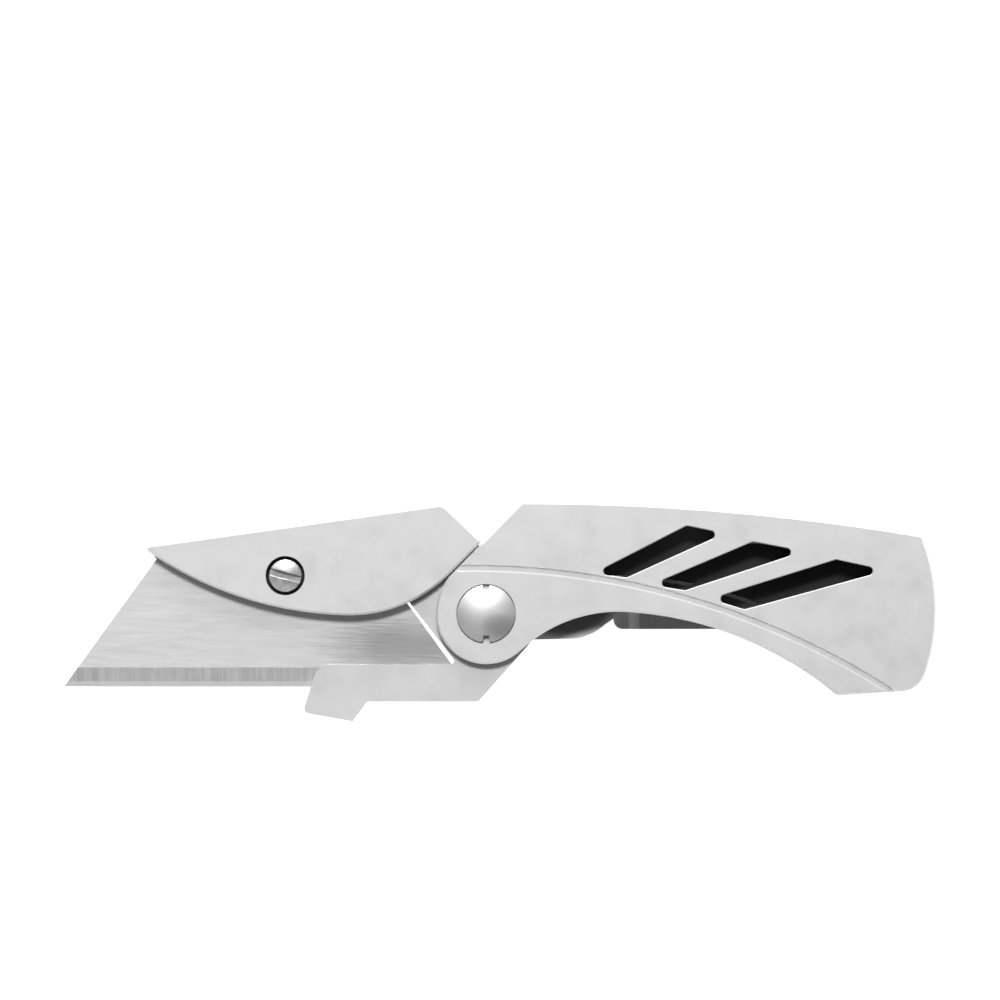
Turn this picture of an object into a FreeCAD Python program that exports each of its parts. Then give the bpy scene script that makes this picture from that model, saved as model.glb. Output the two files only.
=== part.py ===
import FreeCAD, Part
import math
import os
import re

import Sketcher

# Folding utility knife with a frame lock, lying on its clip side.
# +X runs along the open knife towards the handle's tail, +Y towards the spine, +Z out of the front
# face. Outlines are drawn from the pivot's axis, and every sub-part's Placement carries them there.

os.makedirs("parts", exist_ok=True)
doc = FreeCAD.newDocument("utility_knife")
Vector = FreeCAD.Vector

# Each row: name of the cell, its value in millimetres or degrees, what it is.
SIZES = [
    # Whole knife, seen from the front
    ("tail_reach", 68.0, "pivot to the end of the tail"),
    ("blade_rear_back", 2.78, "pivot to the blade's rear corner, along the knife"),
    ("spine_rise", 16.9, "pivot to the crown of the spine"),
    ("jaw_drop", 16.28, "pivot to the lowest corner of the jaw"),
    # Layers, from the back to the front
    ("clip_standoff", 2.9, "clip's outer face to the rear frame's back"),
    ("plate_wall", 1.8, "thickness of rear frame and front scale"),
    ("washer_gap", 0.15, "room for a washer on each side of the carrier"),
    ("washer_play", 0.02, "how much thinner a washer is than its room"),
    ("carrier_wall", 3.0, "thickness of the carrier frame"),
    ("blade_wall", 0.63, "thickness of the blade"),
    ("blade_shelf", 1.85, "carrier's back to the blade's back"),
    ("blade_play", 0.02, "room over the blade in its seat"),
    # Handle outline
    ("crown_along", 6.0, "crown of the spine"),
    ("spine_radius", 358.5, ""),
    ("spine_start", 5.4, "where the spine begins"),
    ("shoulder_distance", 7.92, "pivot to the slanted front edge of the scale"),
    ("bolster_radius", 7.6, ""),
    ("bolster_start_angle", 165.0, "where the round bolster leaves the slanted edge"),
    ("bolster_blend_radius", 9.0, ""),
    ("bolster_end_angle", 46.0, "below the X axis, where the arch begins"),
    ("arch_crown_along", 20.16, ""),
    ("arch_crown_up", 0.33, ""),
    ("arch_front_radius", 21.74, ""),
    ("arch_rear_radius", 54.9, ""),
    ("heel_along", 53.15, "corner between arch and underside"),
    ("heel_drop", 12.32, ""),
    ("tail_radius", 29.9, ""),
    ("tail_middle_up", 0.67, "height of the tail's furthest point"),
    ("tail_top_up", 11.87, "corner between tail and spine"),
    ("tail_bottom_drop", 11.5, "corner between tail and underside"),
    ("tail_top_round", 0.6, ""),
    ("tail_bottom_round", 4.0, ""),
    ("spine_start_round", 0.5, ""),
    ("edge_break", 0.3, "chamfer round the show faces"),
    # Engraved line and slots of the front scale
    ("line_radius", 116.45, "lower edge of the engraved line"),
    ("line_width", 1.1, ""),
    ("line_depth", 0.35, ""),
    ("line_centre_back", 2.2, "centre of its arc, towards the tip"),
    ("line_centre_drop", 110.1, ""),
    ("line_flank", 0.22, "width of each sloped side of the engraved line"),
    ("slot_break", 0.12, "chamfer round the slots"),
    ("slot_tip_round", 0.66, ""),
    ("slot_side_round", 0.5, ""),
    # Pivot
    ("barrel_radius", 2.5, ""),
    ("barrel_head_radius", 4.2, ""),
    ("barrel_head_height", 1.9, "tall enough for the knife to lie steady on clip and head"),
    ("pivot_head_radius", 4.37, ""),
    ("pivot_head_room", 0.14, "gap round the pivot screw's head"),
    ("pivot_sink", 0.7, "depth of the counterbore in the scale"),
    ("pivot_side_height", 0.78, "straight side of the pivot screw's head"),
    ("pivot_dome_rise", 0.7, ""),
    ("pivot_thread_radius", 1.5, ""),
    ("pivot_thread_length", 3.6, ""),
    ("spanner_notch_width", 1.1, ""),
    ("spanner_notch_depth", 1.15, "from the rim inwards"),
    ("fixed_play", 0.01, "radial clearance of pieces that stay together"),
    ("running_play", 0.03, "radial clearance of pieces that turn"),
    ("front_washer_radius", 6.4, ""),
    ("rear_washer_radius", 3.7, ""),
    # Tang, its stop track and the lock bar
    ("fold_angle", 178.5, "from open to closed"),
    ("tang_radius", 7.0, ""),
    ("lobe_radius", 7.93, "lobe that the lock bar's end holds"),
    ("lobe_face_angle", 34.5, "below the X axis"),
    ("stop_circle_radius", 5.0, "pivot to the stop pin"),
    ("stop_pin_radius", 0.9, ""),
    ("stop_pin_play", 0.08, ""),
    ("stop_pin_seat", 1.3, "depth of its hole in the rear frame"),
    ("stop_pin_reach", 1.55, "length that stands in the track"),
    ("track_depth", 1.75, ""),
    ("lock_bar_width", 5.4, ""),
    ("lock_bar_end_gap", 0.2, "tang to the lock bar's end"),
    ("lock_neck_along", 46.5, "where the lock bar bends"),
    ("lock_neck_gap", 0.06, ""),
    ("lock_slit", 0.5, "cut between lock bar and rear frame"),
    ("lock_relief_width", 4.0, "thinned neck of the lock bar"),
    ("lock_relief_depth", 0.9, ""),
    ("tab_drop", 4.0, "lowest edge of the thumb tab"),
    ("tab_corner_along", 13.4, ""),
    ("tab_slope_along", 18.0, ""),
    ("tab_slope_drop", 1.75, ""),
    ("tab_round", 8.2, "bulge of the tab's lower rear edge"),
    ("shoulder_dip", 0.5, "how much lower the lock bar's front shoulder sits"),
    ("tab_end_along", 20.9, ""),
    ("relief_margin", 1.0, "relief in the carrier round the sprung lock bar"),
    ("swing_relief", 1.15, "depth of the relief over the lock bar"),
    ("detent_ball_radius", 0.8, ""),
    ("detent_ball_along", 12.5, ""),
    ("detent_ball_up", 1.2, ""),
    ("detent_ball_proud", 0.1, ""),
    # Spacer, screws and clip
    ("spacer_start_radius", 37.8, "pivot to the spacer's front end"),
    ("spacer_low_angle", 16.6, "above the X axis, inner corner of that end"),
    ("spacer_high_angle", 24.2, "above the X axis, outer corner of that end"),
    ("spacer_edge_room", 0.6, "spacer to the edge of the closed blade"),
    ("spacer_inset", 0.3, "spacer inside the plates' outline"),
    ("spacer_tail_drop", 3.0, "how far the spacer runs down the tail"),
    ("frame_screw_radius", 0.9, ""),
    ("frame_screw_head_radius", 1.6, ""),
    ("frame_screw_front_along", 39.0, "three frame screws along the spine"),
    ("frame_screw_front_up", 13.1, ""),
    ("frame_screw_middle_along", 48.5, ""),
    ("frame_screw_middle_up", 12.1, ""),
    ("frame_screw_rear_along", 57.5, ""),
    ("frame_screw_rear_up", 11.25, ""),
    ("frame_screw_head_height", 0.7, ""),
    ("frame_screw_bite", 1.2, "depth of its thread in the front scale"),
    ("socket_radius", 0.75, ""),
    ("socket_depth", 0.45, ""),
    ("clip_wall", 0.9, ""),
    ("clip_width", 10.0, ""),
    ("clip_centre_up", 2.55, ""),
    ("clip_tip_along", 19.4, ""),
    ("clip_touch_along", 22.6, "where the clip meets the rear frame"),
    ("clip_touch_gap", 0.05, ""),
    ("clip_lip_flare", 1.0, ""),
    ("clip_hump_start", 43.0, ""),
    ("clip_hump_end", 49.5, ""),
    ("clip_foot_start", 54.0, ""),
    ("clip_foot_end", 65.2, ""),
    ("clip_corner_round", 1.4, ""),
    ("clip_screw_radius", 1.1, ""),
    ("clip_screw_head_radius", 2.0, ""),
    ("clip_screw_head_height", 0.75, ""),
    ("clip_screw_near", 57.2, ""),
    ("clip_screw_far", 62.2, ""),
    ("clip_screw_bite", 1.5, "depth of its thread in the rear frame"),
    # Carrier frame
    ("cover_inset", 0.35, "carrier inside the cover's outline"),
    ("gap_top_back", 11.9, "see-through gap behind the blade"),
    ("gap_top_up", 2.05, ""),
    ("gap_foot_back", 4.25, ""),
    ("gap_foot_round", 0.6, ""),
    ("jaw_top_drop", 7.75, ""),
    ("jaw_front_back", 25.5, ""),
    ("jaw_front_round", 2.6, ""),
    ("jaw_toe_back", 27.75, ""),
    ("jaw_toe_drop", 14.95, ""),
    ("jaw_toe_round", 0.8, ""),
    ("jaw_low_back", 20.2, "lowest corner of the jaw"),
    ("jaw_sole_start_back", 18.0, ""),
    ("jaw_sole_drop", 13.29, ""),
    ("jaw_sole_end_back", 1.21, ""),
    # Blade
    ("edge_drop", 11.07, "pivot to the cutting edge"),
    ("blade_length", 61.22, "along the cutting edge"),
    ("blade_height", 19.4, ""),
    ("blade_end_slant", 14.1, "how far each end leans in at the back"),
    ("bevel_height", 2.9, ""),
    ("honed_height", 0.8, ""),
    ("honed_wall", 0.16, "thickness where the honed edge starts"),
    ("edge_wall", 0.03, "thickness of the cutting edge itself"),
    ("notch_pitch", 6.1, "between the two notches in the back"),
    ("notch_radius", 1.6, ""),
    ("seat_play", 0.06, "room round the blade in its seat"),
    # Cover plate
    ("shoulder_gap", 0.25, "cover to the scale's slanted edge"),
    ("frame_lip", 0.6, "how far the rear frame reaches under that gap"),
    ("cover_tip_back", 52.2, ""),
    ("cover_tip_up", 10.17, ""),
    ("cover_tip_round", 0.5, ""),
    ("cover_top_back", 6.57, "corner of the top edge and the right slope"),
    ("cover_top_up", 16.56, ""),
    ("cover_top_round", 1.7, ""),
    ("cover_right_back", 0.66, ""),
    ("crescent_middle_back", 21.0, "lowest point of the crescent edge"),
    ("crescent_middle_drop", 0.22, ""),
    ("crescent_long_radius", 55.77, ""),
    ("crescent_short_radius", 21.24, ""),
    ("crescent_end_back", 5.57, ""),
    # Clamp screw, its nut and ring, and the dowels
    ("clamp_up", 5.78, ""),
    ("clamp_hole_radius", 2.96, ""),
    ("clamp_head_radius", 2.45, ""),
    ("clamp_sink", 1.45, "depth of the counterbore in the cover"),
    ("clamp_side_height", 1.1, ""),
    ("clamp_dome_rise", 0.4, ""),
    ("clamp_shank_radius", 1.25, ""),
    ("clamp_shank_play", 0.05, ""),
    ("clamp_bite", 1.5, "length of thread in the nut"),
    ("clamp_slot_width", 1.0, ""),
    ("clamp_slot_depth", 0.75, ""),
    ("clamp_slot_angle", -15.0, ""),
    ("nut_radius", 2.0, ""),
    ("nut_flange_radius", 2.6, ""),
    ("nut_flange_height", 0.6, ""),
    ("ring_wall", 0.35, ""),
    ("ring_radius", 2.2, ""),
    ("ring_groove_depth", 0.25, ""),
    ("ring_mouth", 1.5, ""),
    ("ring_room", 0.1, "room round the ring, along the screw"),
    ("ring_recess_radius", 2.5, ""),
    ("dowel_radius", 1.2, ""),
    ("dowel_start", 0.4, "carrier's back to the dowel's end"),
    ("dowel_bite", 1.0, "length of a dowel in the cover"),
    ("rear_dowel_back", 8.2, ""),
    ("rear_dowel_up", 10.6, ""),
]

# Places that follow from the sizes above.
DERIVED = [
    ("tip_reach", "blade_rear_back + blade_length"),
    ("blade_middle_back", "blade_rear_back + blade_length / 2"),
    ("clamp_back", "blade_middle_back - notch_pitch / 2"),
    ("pivot_x", "(tip_reach - tail_reach) / 2"),
    ("pivot_y", "(jaw_drop - spine_rise) / 2"),
    ("carrier_level", "clip_standoff + plate_wall + washer_gap"),
    ("scale_level", "carrier_level + carrier_wall + washer_gap"),
    ("face_level", "scale_level + plate_wall"),
    ("blade_level", "carrier_level + blade_shelf"),
    ("cover_level", "blade_level + blade_wall + blade_play"),
    ("cover_wall", "face_level - cover_level"),
    ("cavity", "carrier_wall + 2 * washer_gap"),
    ("shoulder_offset", "shoulder_distance * sqrt(2)"),
    ("cover_offset", "(shoulder_distance + shoulder_gap) * sqrt(2)"),
    ("spine_centre_up", "spine_rise - spine_radius"),
    ("spine_start_up",
     "spine_centre_up + sqrt(pow(spine_radius; 2) - pow(spine_start - crown_along; 2))"),
    ("tail_centre_along", "tail_reach - tail_radius"),
    ("tail_top_along",
     "tail_centre_along + sqrt(pow(tail_radius; 2) - pow(tail_top_up - tail_middle_up; 2))"),
    ("tail_bottom_along",
     "tail_centre_along + sqrt(pow(tail_radius; 2) - pow(tail_bottom_drop + tail_middle_up; 2))"),
    ("cover_slope", "(cover_top_up - cover_tip_up) / (cover_tip_back - cover_top_back)"),
    ("blade_back_up", "blade_height - edge_drop"),
]

sheet = doc.addObject("Spreadsheet::Sheet", "Sizes")
ALIASES = {row[0] for row in SIZES} | {row[0] for row in DERIVED}
WORD = re.compile(r"[a-z_]+[a-z]")


def bound(text):
    """An expression in the cells' names, with the sheet's name put before each of them."""
    return WORD.sub(lambda m: "Sizes." + m.group(0) if m.group(0) in ALIASES else m.group(0), text)


def value(text):
    """What an expression in the cells' names comes to."""
    return float(sheet.evalExpression(bound(text)))


def fill_sheet():
    """Driving sizes as plain numbers, then the places worked out from them as formulas."""
    for row, (alias, number, note) in enumerate(SIZES, start=1):
        sheet.set("A%d" % row, str(number))
        sheet.setAlias("A%d" % row, alias)
        sheet.set("B%d" % row, note)
    for row, (alias, formula) in enumerate(DERIVED, start=len(SIZES) + 2):
        sheet.set("A%d" % row, "=" + formula)
        sheet.setAlias("A%d" % row, alias)
    doc.recompute()


def bind(thing, **expressions):
    """Bind properties to expressions; a double underscore stands for a dot."""
    for name, text in expressions.items():
        thing.setExpression(name.replace("__", "."), bound(text))


def new_body(label, level, along="pivot_x", up="pivot_y"):
    """An empty sub-part whose own origin stands on the pivot's axis at the given height."""
    body = doc.addObject("PartDesign::Body", label)
    body.Label = label
    bind(body, Placement__Base__x=along, Placement__Base__y=up, Placement__Base__z=level)
    return body


def new_sketch(body, name, lift="0", plane="XY_Plane"):
    """A sketch on one of the body's own planes, lifted along that plane's normal."""
    sketch = body.newObject("Sketcher::SketchObject", name)
    base = [item for item in body.Origin.OriginFeatures if item.Role == plane][0]
    sketch.AttachmentSupport = [(base, "")]
    sketch.MapMode = "FlatFace"
    bind(sketch, AttachmentOffset__Base__z=lift)
    return sketch


def arc_centre(start, end, radius, way):
    """Centre of the short arc between two points; "out" bulges to the right of travel."""
    middle = (start + end) * 0.5
    chord = end - start
    reach = math.sqrt(max(radius ** 2 - (chord.Length / 2) ** 2, 0))
    left = Vector(-chord.y, chord.x, 0).normalize()
    return middle + left * (reach if way == "out" else -reach)


def pin_point(sketch, edge, end, x, y):
    """Hold one end of an edge at a place given by two expressions."""
    across = sketch.addConstraint(Sketcher.Constraint("DistanceX", -1, 1, edge, end, value(x)))
    upward = sketch.addConstraint(Sketcher.Constraint("DistanceY", -1, 1, edge, end, value(y)))
    sketch.setExpression("Constraints[%d]" % across, bound(x))
    sketch.setExpression("Constraints[%d]" % upward, bound(y))


def draw(sketch, corners):
    """Closed outline. A corner is (x, y), or (x, y, way, radius) where the next edge is an arc."""
    points = [Vector(value(corner[0]), value(corner[1]), 0) for corner in corners]
    first = sketch.GeometryCount
    count = len(corners)
    for place, corner in enumerate(corners):
        start = points[place]
        end = points[(place + 1) % count]
        if len(corner) == 2:
            sketch.addGeometry(Part.LineSegment(start, end), False)
            continue
        way, radius = corner[2], value(corner[3])
        centre = arc_centre(start, end, radius, way)
        turn = [math.atan2(p.y - centre.y, p.x - centre.x) for p in (start, end)]
        if way == "in":
            turn.reverse()
        circle = Part.Circle(centre, Vector(0, 0, 1), radius)
        sketch.addGeometry(Part.ArcOfCircle(circle, turn[0], turn[1]), False)
    ends = [(2, 1) if len(corner) > 2 and corner[2] == "in" else (1, 2) for corner in corners]
    for place, corner in enumerate(corners):
        edge = first + place
        after = (place + 1) % count
        sketch.addConstraint(Sketcher.Constraint(
            "Coincident", edge, ends[place][1], first + after, ends[after][0]))
        pin_point(sketch, edge, ends[place][0], corner[0], corner[1])
        if len(corner) > 2:
            held = sketch.addConstraint(Sketcher.Constraint("Radius", edge, value(corner[3])))
            sketch.setExpression("Constraints[%d]" % held, bound(corner[3]))


def ring(sketch, x, y, radius):
    """A circle held by its centre and its radius."""
    centre = Vector(value(x), value(y), 0)
    edge = sketch.addGeometry(Part.Circle(centre, Vector(0, 0, 1), value(radius)), False)
    pin_point(sketch, edge, 3, x, y)
    held = sketch.addConstraint(Sketcher.Constraint("Radius", edge, value(radius)))
    sketch.setExpression("Constraints[%d]" % held, bound(radius))


def pad(body, sketch, length, symmetric=False):
    """Grow a sketch along its normal, or half each way."""
    feature = body.newObject("PartDesign::Pad", "Pad")
    feature.Profile = sketch
    feature.SideType = "Symmetric" if symmetric else "One side"
    bind(feature, Length=length)
    sketch.Visibility = False
    doc.recompute()
    return feature


def cut(body, sketch, length):
    """Cut a sketch's prism, from the sketch along its normal, and insist that it removes metal."""
    before = body.Shape.Volume
    feature = body.newObject("PartDesign::Pocket", "Pocket")
    feature.Profile = sketch
    feature.Reversed = True
    bind(feature, Length=length)
    sketch.Visibility = False
    doc.recompute()
    if body.Shape.Volume > before - 1e-6:
        raise RuntimeError("%s: %s cuts nothing" % (body.Label, sketch.Name))
    return feature


def dress(body, kind, edges, size):
    """Fillet or chamfer the named edges of the body's last feature."""
    if not edges:
        raise RuntimeError("%s: no edge to %s" % (body.Label, kind))
    base = body.Tip
    feature = body.newObject("PartDesign::" + kind, kind)
    feature.Base = (base, edges)
    if kind == "Fillet":
        bind(feature, Radius=size)
    else:
        bind(feature, Size=size)
    doc.recompute()
    return feature


def upright_edges(body, places):
    """Names of the straight edges that stand on any of the given (x, y) places."""
    shape = body.Tip.Shape
    wanted = [Vector(value(x), value(y), 0) for x, y in places]
    names = []
    for number, edge in enumerate(shape.Edges, start=1):
        ends = [vertex.Point for vertex in edge.Vertexes]
        if len(ends) != 2 or abs(ends[0].z - ends[1].z) < 1e-4:
            continue
        flat = [Vector(point.x, point.y, 0) for point in ends]
        if any(max(spot.distanceToPoint(p) for p in flat) < 1e-3 for spot in wanted):
            names.append("Edge%d" % number)
    return names


def rim_edges(body, height, inner=False):
    """Names of the outer edges, or of the edges of the holes, of the flat faces at one height."""
    shape = body.Tip.Shape
    level = value(height)
    names = []
    for face in shape.Faces:
        box = face.BoundBox
        if abs(box.ZMin - level) > 1e-4 or abs(box.ZMax - level) > 1e-4:
            continue
        outer = face.OuterWire
        wires = [wire for wire in face.Wires if wire.isSame(outer) != inner]
        for edge in [edge for wire in wires for edge in wire.Edges]:
            names += ["Edge%d" % n for n, other in enumerate(shape.Edges, 1) if other.isSame(edge)]
    return sorted(set(names), key=lambda name: int(name[4:]))


def turned(label, level, corners, along="pivot_x", up="pivot_y"):
    """A round sub-part: corners are (radius, height), as in draw, spun about the body's own axis."""
    body = new_body(label, level, along, up)
    sketch = new_sketch(body, "profile", plane="XZ_Plane")
    draw(sketch, corners)
    feature = body.newObject("PartDesign::Revolution", "Revolution")
    feature.Profile = sketch
    feature.ReferenceAxis = (sketch, ["V_Axis"])
    feature.Angle = 360.0
    sketch.Visibility = False
    doc.recompute()
    return body


def polar(radius, angle):
    """Expressions for a point at a radius and an angle in degrees."""
    return ("(%s) * cos((%s) * 1deg)" % (radius, angle), "(%s) * sin((%s) * 1deg)" % (radius, angle))


def beside(radius, angle, distance, way):
    """Expressions for a point beside a polar point: "+" anticlockwise of it, "-" clockwise."""
    turn = "((%s) * 1deg)" % angle
    other = "-" if way == "+" else "+"
    return ("%s * cos%s %s (%s) * sin%s" % (radius, turn, other, distance, turn),
            "%s * sin%s %s (%s) * cos%s" % (radius, turn, way, distance, turn))


# ---------------------------------------------------------------- outlines used more than once

BOLSTER_START = polar("bolster_radius", "bolster_start_angle")
BOLSTER_END = polar("bolster_radius", "0 - bolster_end_angle")


def shoulder_lip():
    """Low step on the rear frame's slanted edge that closes the gap beside the cover from behind."""
    back = "0 - cover_right_back - shoulder_gap"
    up = "shoulder_offset - cover_right_back - shoulder_gap"
    return [
        (back, up),
        (back + " - frame_lip * sqrt(2)", up),
        ("0 - shoulder_offset / 2", "shoulder_offset / 2 + frame_lip * sqrt(2)"),
    ]


def handle_outline(lip=False):
    """Outline that front scale and rear frame share, anticlockwise from the spine's front end."""
    return [
        ("spine_start", "spine_start_up"),
        *(shoulder_lip() if lip else ()),
        ("0 - shoulder_offset / 2", "shoulder_offset / 2", "out", "bolster_blend_radius"),
        BOLSTER_START + ("out", "bolster_radius"),
        BOLSTER_END + ("in", "arch_front_radius"),
        ("arch_crown_along", "arch_crown_up", "in", "arch_rear_radius"),
        ("heel_along", "0 - heel_drop"),
        ("tail_bottom_along", "0 - tail_bottom_drop", "out", "tail_radius"),
        ("tail_top_along", "tail_top_up", "out", "spine_radius"),
    ]


def handle_plate(label, level, lip=False):
    """A plate with the handle's outline and its rounded corners."""
    body = new_body(label, level)
    outline = new_sketch(body, "outline")
    draw(outline, handle_outline(lip))
    pad(body, outline, "plate_wall")
    dress(body, "Fillet", upright_edges(body, [("spine_start", "spine_start_up")]),
          "spine_start_round")
    dress(body, "Fillet", upright_edges(body, [("tail_top_along", "tail_top_up")]),
          "tail_top_round")
    dress(body, "Fillet", upright_edges(body, [("tail_bottom_along", "0 - tail_bottom_drop")]),
          "tail_bottom_round")
    return body


def blade_corners(room):
    """The blade's four corners, grown by a clearance, anticlockwise from the point."""
    lean = "(blade_end_slant / blade_height)"
    side = "(%s) * 1.6" % room
    return [
        ("0 - tip_reach - %s" % side, "0 - edge_drop - (%s)" % room),
        ("0 - blade_rear_back + %s" % side, "0 - edge_drop - (%s)" % room),
        ("0 - blade_rear_back + %s - %s * blade_height" % (side, lean),
         "blade_back_up + (%s)" % room),
        ("0 - tip_reach - %s + %s * blade_height" % (side, lean), "blade_back_up + (%s)" % room),
    ]


def crescent_up(back, inside):
    """Height of the crescent's long curve at a place, moved into the cover by a distance."""
    return ("crescent_long_radius - crescent_middle_drop - sqrt(pow(crescent_long_radius - %s; 2)"
            " - pow(%s - crescent_middle_back; 2))" % (inside, back))


def arch_up(along, rise):
    """Height of the arch's rear curve at a place, or of a curve that runs further up."""
    return ("arch_crown_up - arch_rear_radius + sqrt(pow(arch_rear_radius + %s; 2)"
            " - pow(%s - arch_crown_along + 2.1; 2))" % (rise, along))


# ---------------------------------------------------------------- handle

def make_front_scale():
    """Front handle plate: engraved line, three slots, pivot counterbore, blind screw holes."""
    body = handle_plate("front_scale", "scale_level")
    slots = new_sketch(body, "slots")
    corners = [
        [(16.11, 6.05), (21.29, 5.51), (35.99, 12.16), (30.29, 13.32)],
        [(24.87, 4.38), (30.08, 3.55), (47.99, 9.46), (40.27, 10.90)],
        [(33.87, 2.27), (39.05, 0.66), (60.51, 6.57), (52.85, 8.20)],
    ]
    for slot in corners:
        draw(slots, [(str(along), str(up)) for along, up in slot])
    cut(body, slots, "plate_wall")
    tips = [(str(along), str(up)) for slot in corners for along, up in (slot[0], slot[2])]
    sides = [(str(along), str(up)) for slot in corners for along, up in (slot[1], slot[3])]
    dress(body, "Fillet", upright_edges(body, tips), "slot_tip_round")
    dress(body, "Fillet", upright_edges(body, sides), "slot_side_round")
    dress(body, "Chamfer", rim_edges(body, "plate_wall", inner=True), "slot_break")
    dress(body, "Chamfer", rim_edges(body, "plate_wall"), "edge_break")

    line = new_sketch(body, "engraved_line", "plate_wall - line_depth")
    rise = "sqrt(pow(line_radius + %s; 2) - pow(%s + line_centre_back; 2)) - line_centre_drop"
    low, high = "line_flank", "(line_width - line_flank)"
    ends = [("0 - bolster_radius - 1", low), ("tail_reach", low),
            ("tail_reach", high), ("0 - bolster_radius - 1", high)]
    spots = [(along, rise % (extra, "(%s)" % along)) for along, extra in ends]
    draw(line, [
        spots[0] + ("in", "line_radius + " + low),
        spots[1],
        spots[2] + ("out", "line_radius + " + high),
        spots[3],
    ])
    groove = cut(body, line, "line_depth")
    bind(groove, TaperAngle="atan(line_flank / line_depth)")
    doc.recompute()

    counterbore = new_sketch(body, "counterbore", "plate_wall - pivot_sink")
    ring(counterbore, "0", "0", "pivot_head_radius + pivot_head_room")
    cut(body, counterbore, "pivot_sink")
    bore = new_sketch(body, "bore")
    ring(bore, "0", "0", "barrel_radius + fixed_play")
    cut(body, bore, "plate_wall")
    threads = new_sketch(body, "threads")
    for along, up in SCREW_PLACES:
        ring(threads, along, up, "frame_screw_radius + fixed_play")
    cut(body, threads, "frame_screw_bite + fixed_play")
    return body


# Places of the three frame screws, along the spine above the closed blade.
SCREW_PLACES = [("frame_screw_%s_along" % spot, "frame_screw_%s_up" % spot)
                for spot in ("front", "middle", "rear")]
CLIP_SCREW_PLACES = [("clip_screw_near", "clip_centre_up"), ("clip_screw_far", "clip_centre_up")]


def make_rear_frame():
    """Back handle plate, cut away for the lock bar, with the holes of pivot, pin and screws."""
    body = handle_plate("rear_frame", "clip_standoff", lip=True)
    dress(body, "Chamfer", rim_edges(body, "0"), "edge_break")

    opening = new_sketch(body, "lock_opening")
    neck = "lock_neck_along + lock_neck_gap"
    draw(opening, [
        ("tang_radius - 1.8", "0 - bolster_radius"),
        (neck, "0 - heel_drop"),
        (neck, arch_up(neck, "(lock_bar_width + lock_slit)"), "out",
         "arch_rear_radius + lock_bar_width + lock_slit"),
        ("arch_crown_along - 2.1", "arch_crown_up + lock_bar_width + lock_slit - shoulder_dip"),
        ("tang_radius + 0.4", "lock_bar_width - 1.9", "out", "tang_radius + lock_slit * 2"),
        ("tang_radius * 0.83", "0 - tang_radius * 0.49"),
    ])
    cut(body, opening, "plate_wall")

    holes = new_sketch(body, "holes")
    ring(holes, "0", "0", "barrel_radius + fixed_play")
    for along, up in SCREW_PLACES:
        ring(holes, along, up, "frame_screw_radius + fixed_play")
    cut(body, holes, "plate_wall")
    taps = new_sketch(body, "clip_threads")
    for along, up in CLIP_SCREW_PLACES:
        ring(taps, along, up, "clip_screw_radius + fixed_play")
    cut(body, taps, "clip_screw_bite + fixed_play")
    pin = new_sketch(body, "stop_pin_hole", "plate_wall - stop_pin_seat")
    ring(pin, "0", "stop_circle_radius", "stop_pin_radius + fixed_play")
    cut(body, pin, "stop_pin_seat")
    return body


def make_lock_bar():
    """Sprung bar between arch and slit; its end stands behind the tang's lobe when it springs in."""
    body = new_body("lock_bar", "clip_standoff")
    outline = new_sketch(body, "outline")
    draw(outline, [
        ("(tang_radius + lock_bar_end_gap) * 0.885", "0 - tab_drop"),
        ("tab_corner_along", "0.15 - tab_drop", "out", "tab_round"),
        ("tab_slope_along", "0 - tab_slope_drop"),
        ("tab_end_along", "arch_crown_up - 0.1", "in", "arch_rear_radius"),
        ("lock_neck_along", arch_up("lock_neck_along", "0")),
        ("lock_neck_along", arch_up("lock_neck_along", "lock_bar_width"), "out",
         "arch_rear_radius + lock_bar_width"),
        ("arch_crown_along - 2.1", "arch_crown_up + lock_bar_width - shoulder_dip"),
        ("tang_radius + 1.0", "lock_bar_width - 2.3"),
        ("tang_radius + lock_bar_end_gap", "1.0", "in", "tang_radius + lock_bar_end_gap + 0.1"),
    ])
    pad(body, outline, "plate_wall")
    relief = new_sketch(body, "neck_relief")
    low = "lock_neck_along - 2 - lock_relief_width"
    high = "lock_neck_along - 2"
    draw(relief, [
        (low, "0 - heel_drop"),
        (high, "0 - heel_drop"),
        (high, "lock_bar_width * 2"),
        (low, "lock_bar_width * 2"),
    ])
    cut(body, relief, "lock_relief_depth")
    seat = new_sketch(body, "ball_seat", "plate_wall + detent_ball_proud - 2 * detent_ball_radius")
    ring(seat, "detent_ball_along", "detent_ball_up", "detent_ball_radius + fixed_play")
    cut(body, seat, "2 * detent_ball_radius")
    return body


def make_detent_ball():
    """Hard ball pressed into the lock bar, just proud of its inner face."""
    half = "detent_ball_radius"
    return turned(
        "detent_ball",
        "clip_standoff + plate_wall + detent_ball_proud - detent_ball_radius",
        [("0", "0 - " + half, "out", half), (half, "0", "out", half), ("0", half)],
        "pivot_x + detent_ball_along", "pivot_y + detent_ball_up")


def make_pivot_barrel():
    """Headed sleeve that the carrier turns on, bored for the pivot screw."""
    top = "carrier_wall + 2 * washer_gap + 2 * plate_wall - pivot_sink - 0.05"
    mouth = "%s - pivot_thread_length" % top
    return turned("pivot_barrel", "clip_standoff", [
        ("0", "0 - barrel_head_height"),
        ("barrel_head_radius - 0.3", "0 - barrel_head_height"),
        ("barrel_head_radius", "0.3 - barrel_head_height"),
        ("barrel_head_radius", "0"),
        ("barrel_radius", "0"),
        ("barrel_radius", top),
        ("pivot_thread_radius + fixed_play", top),
        ("pivot_thread_radius + fixed_play", mouth),
        ("0", mouth),
    ])


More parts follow.
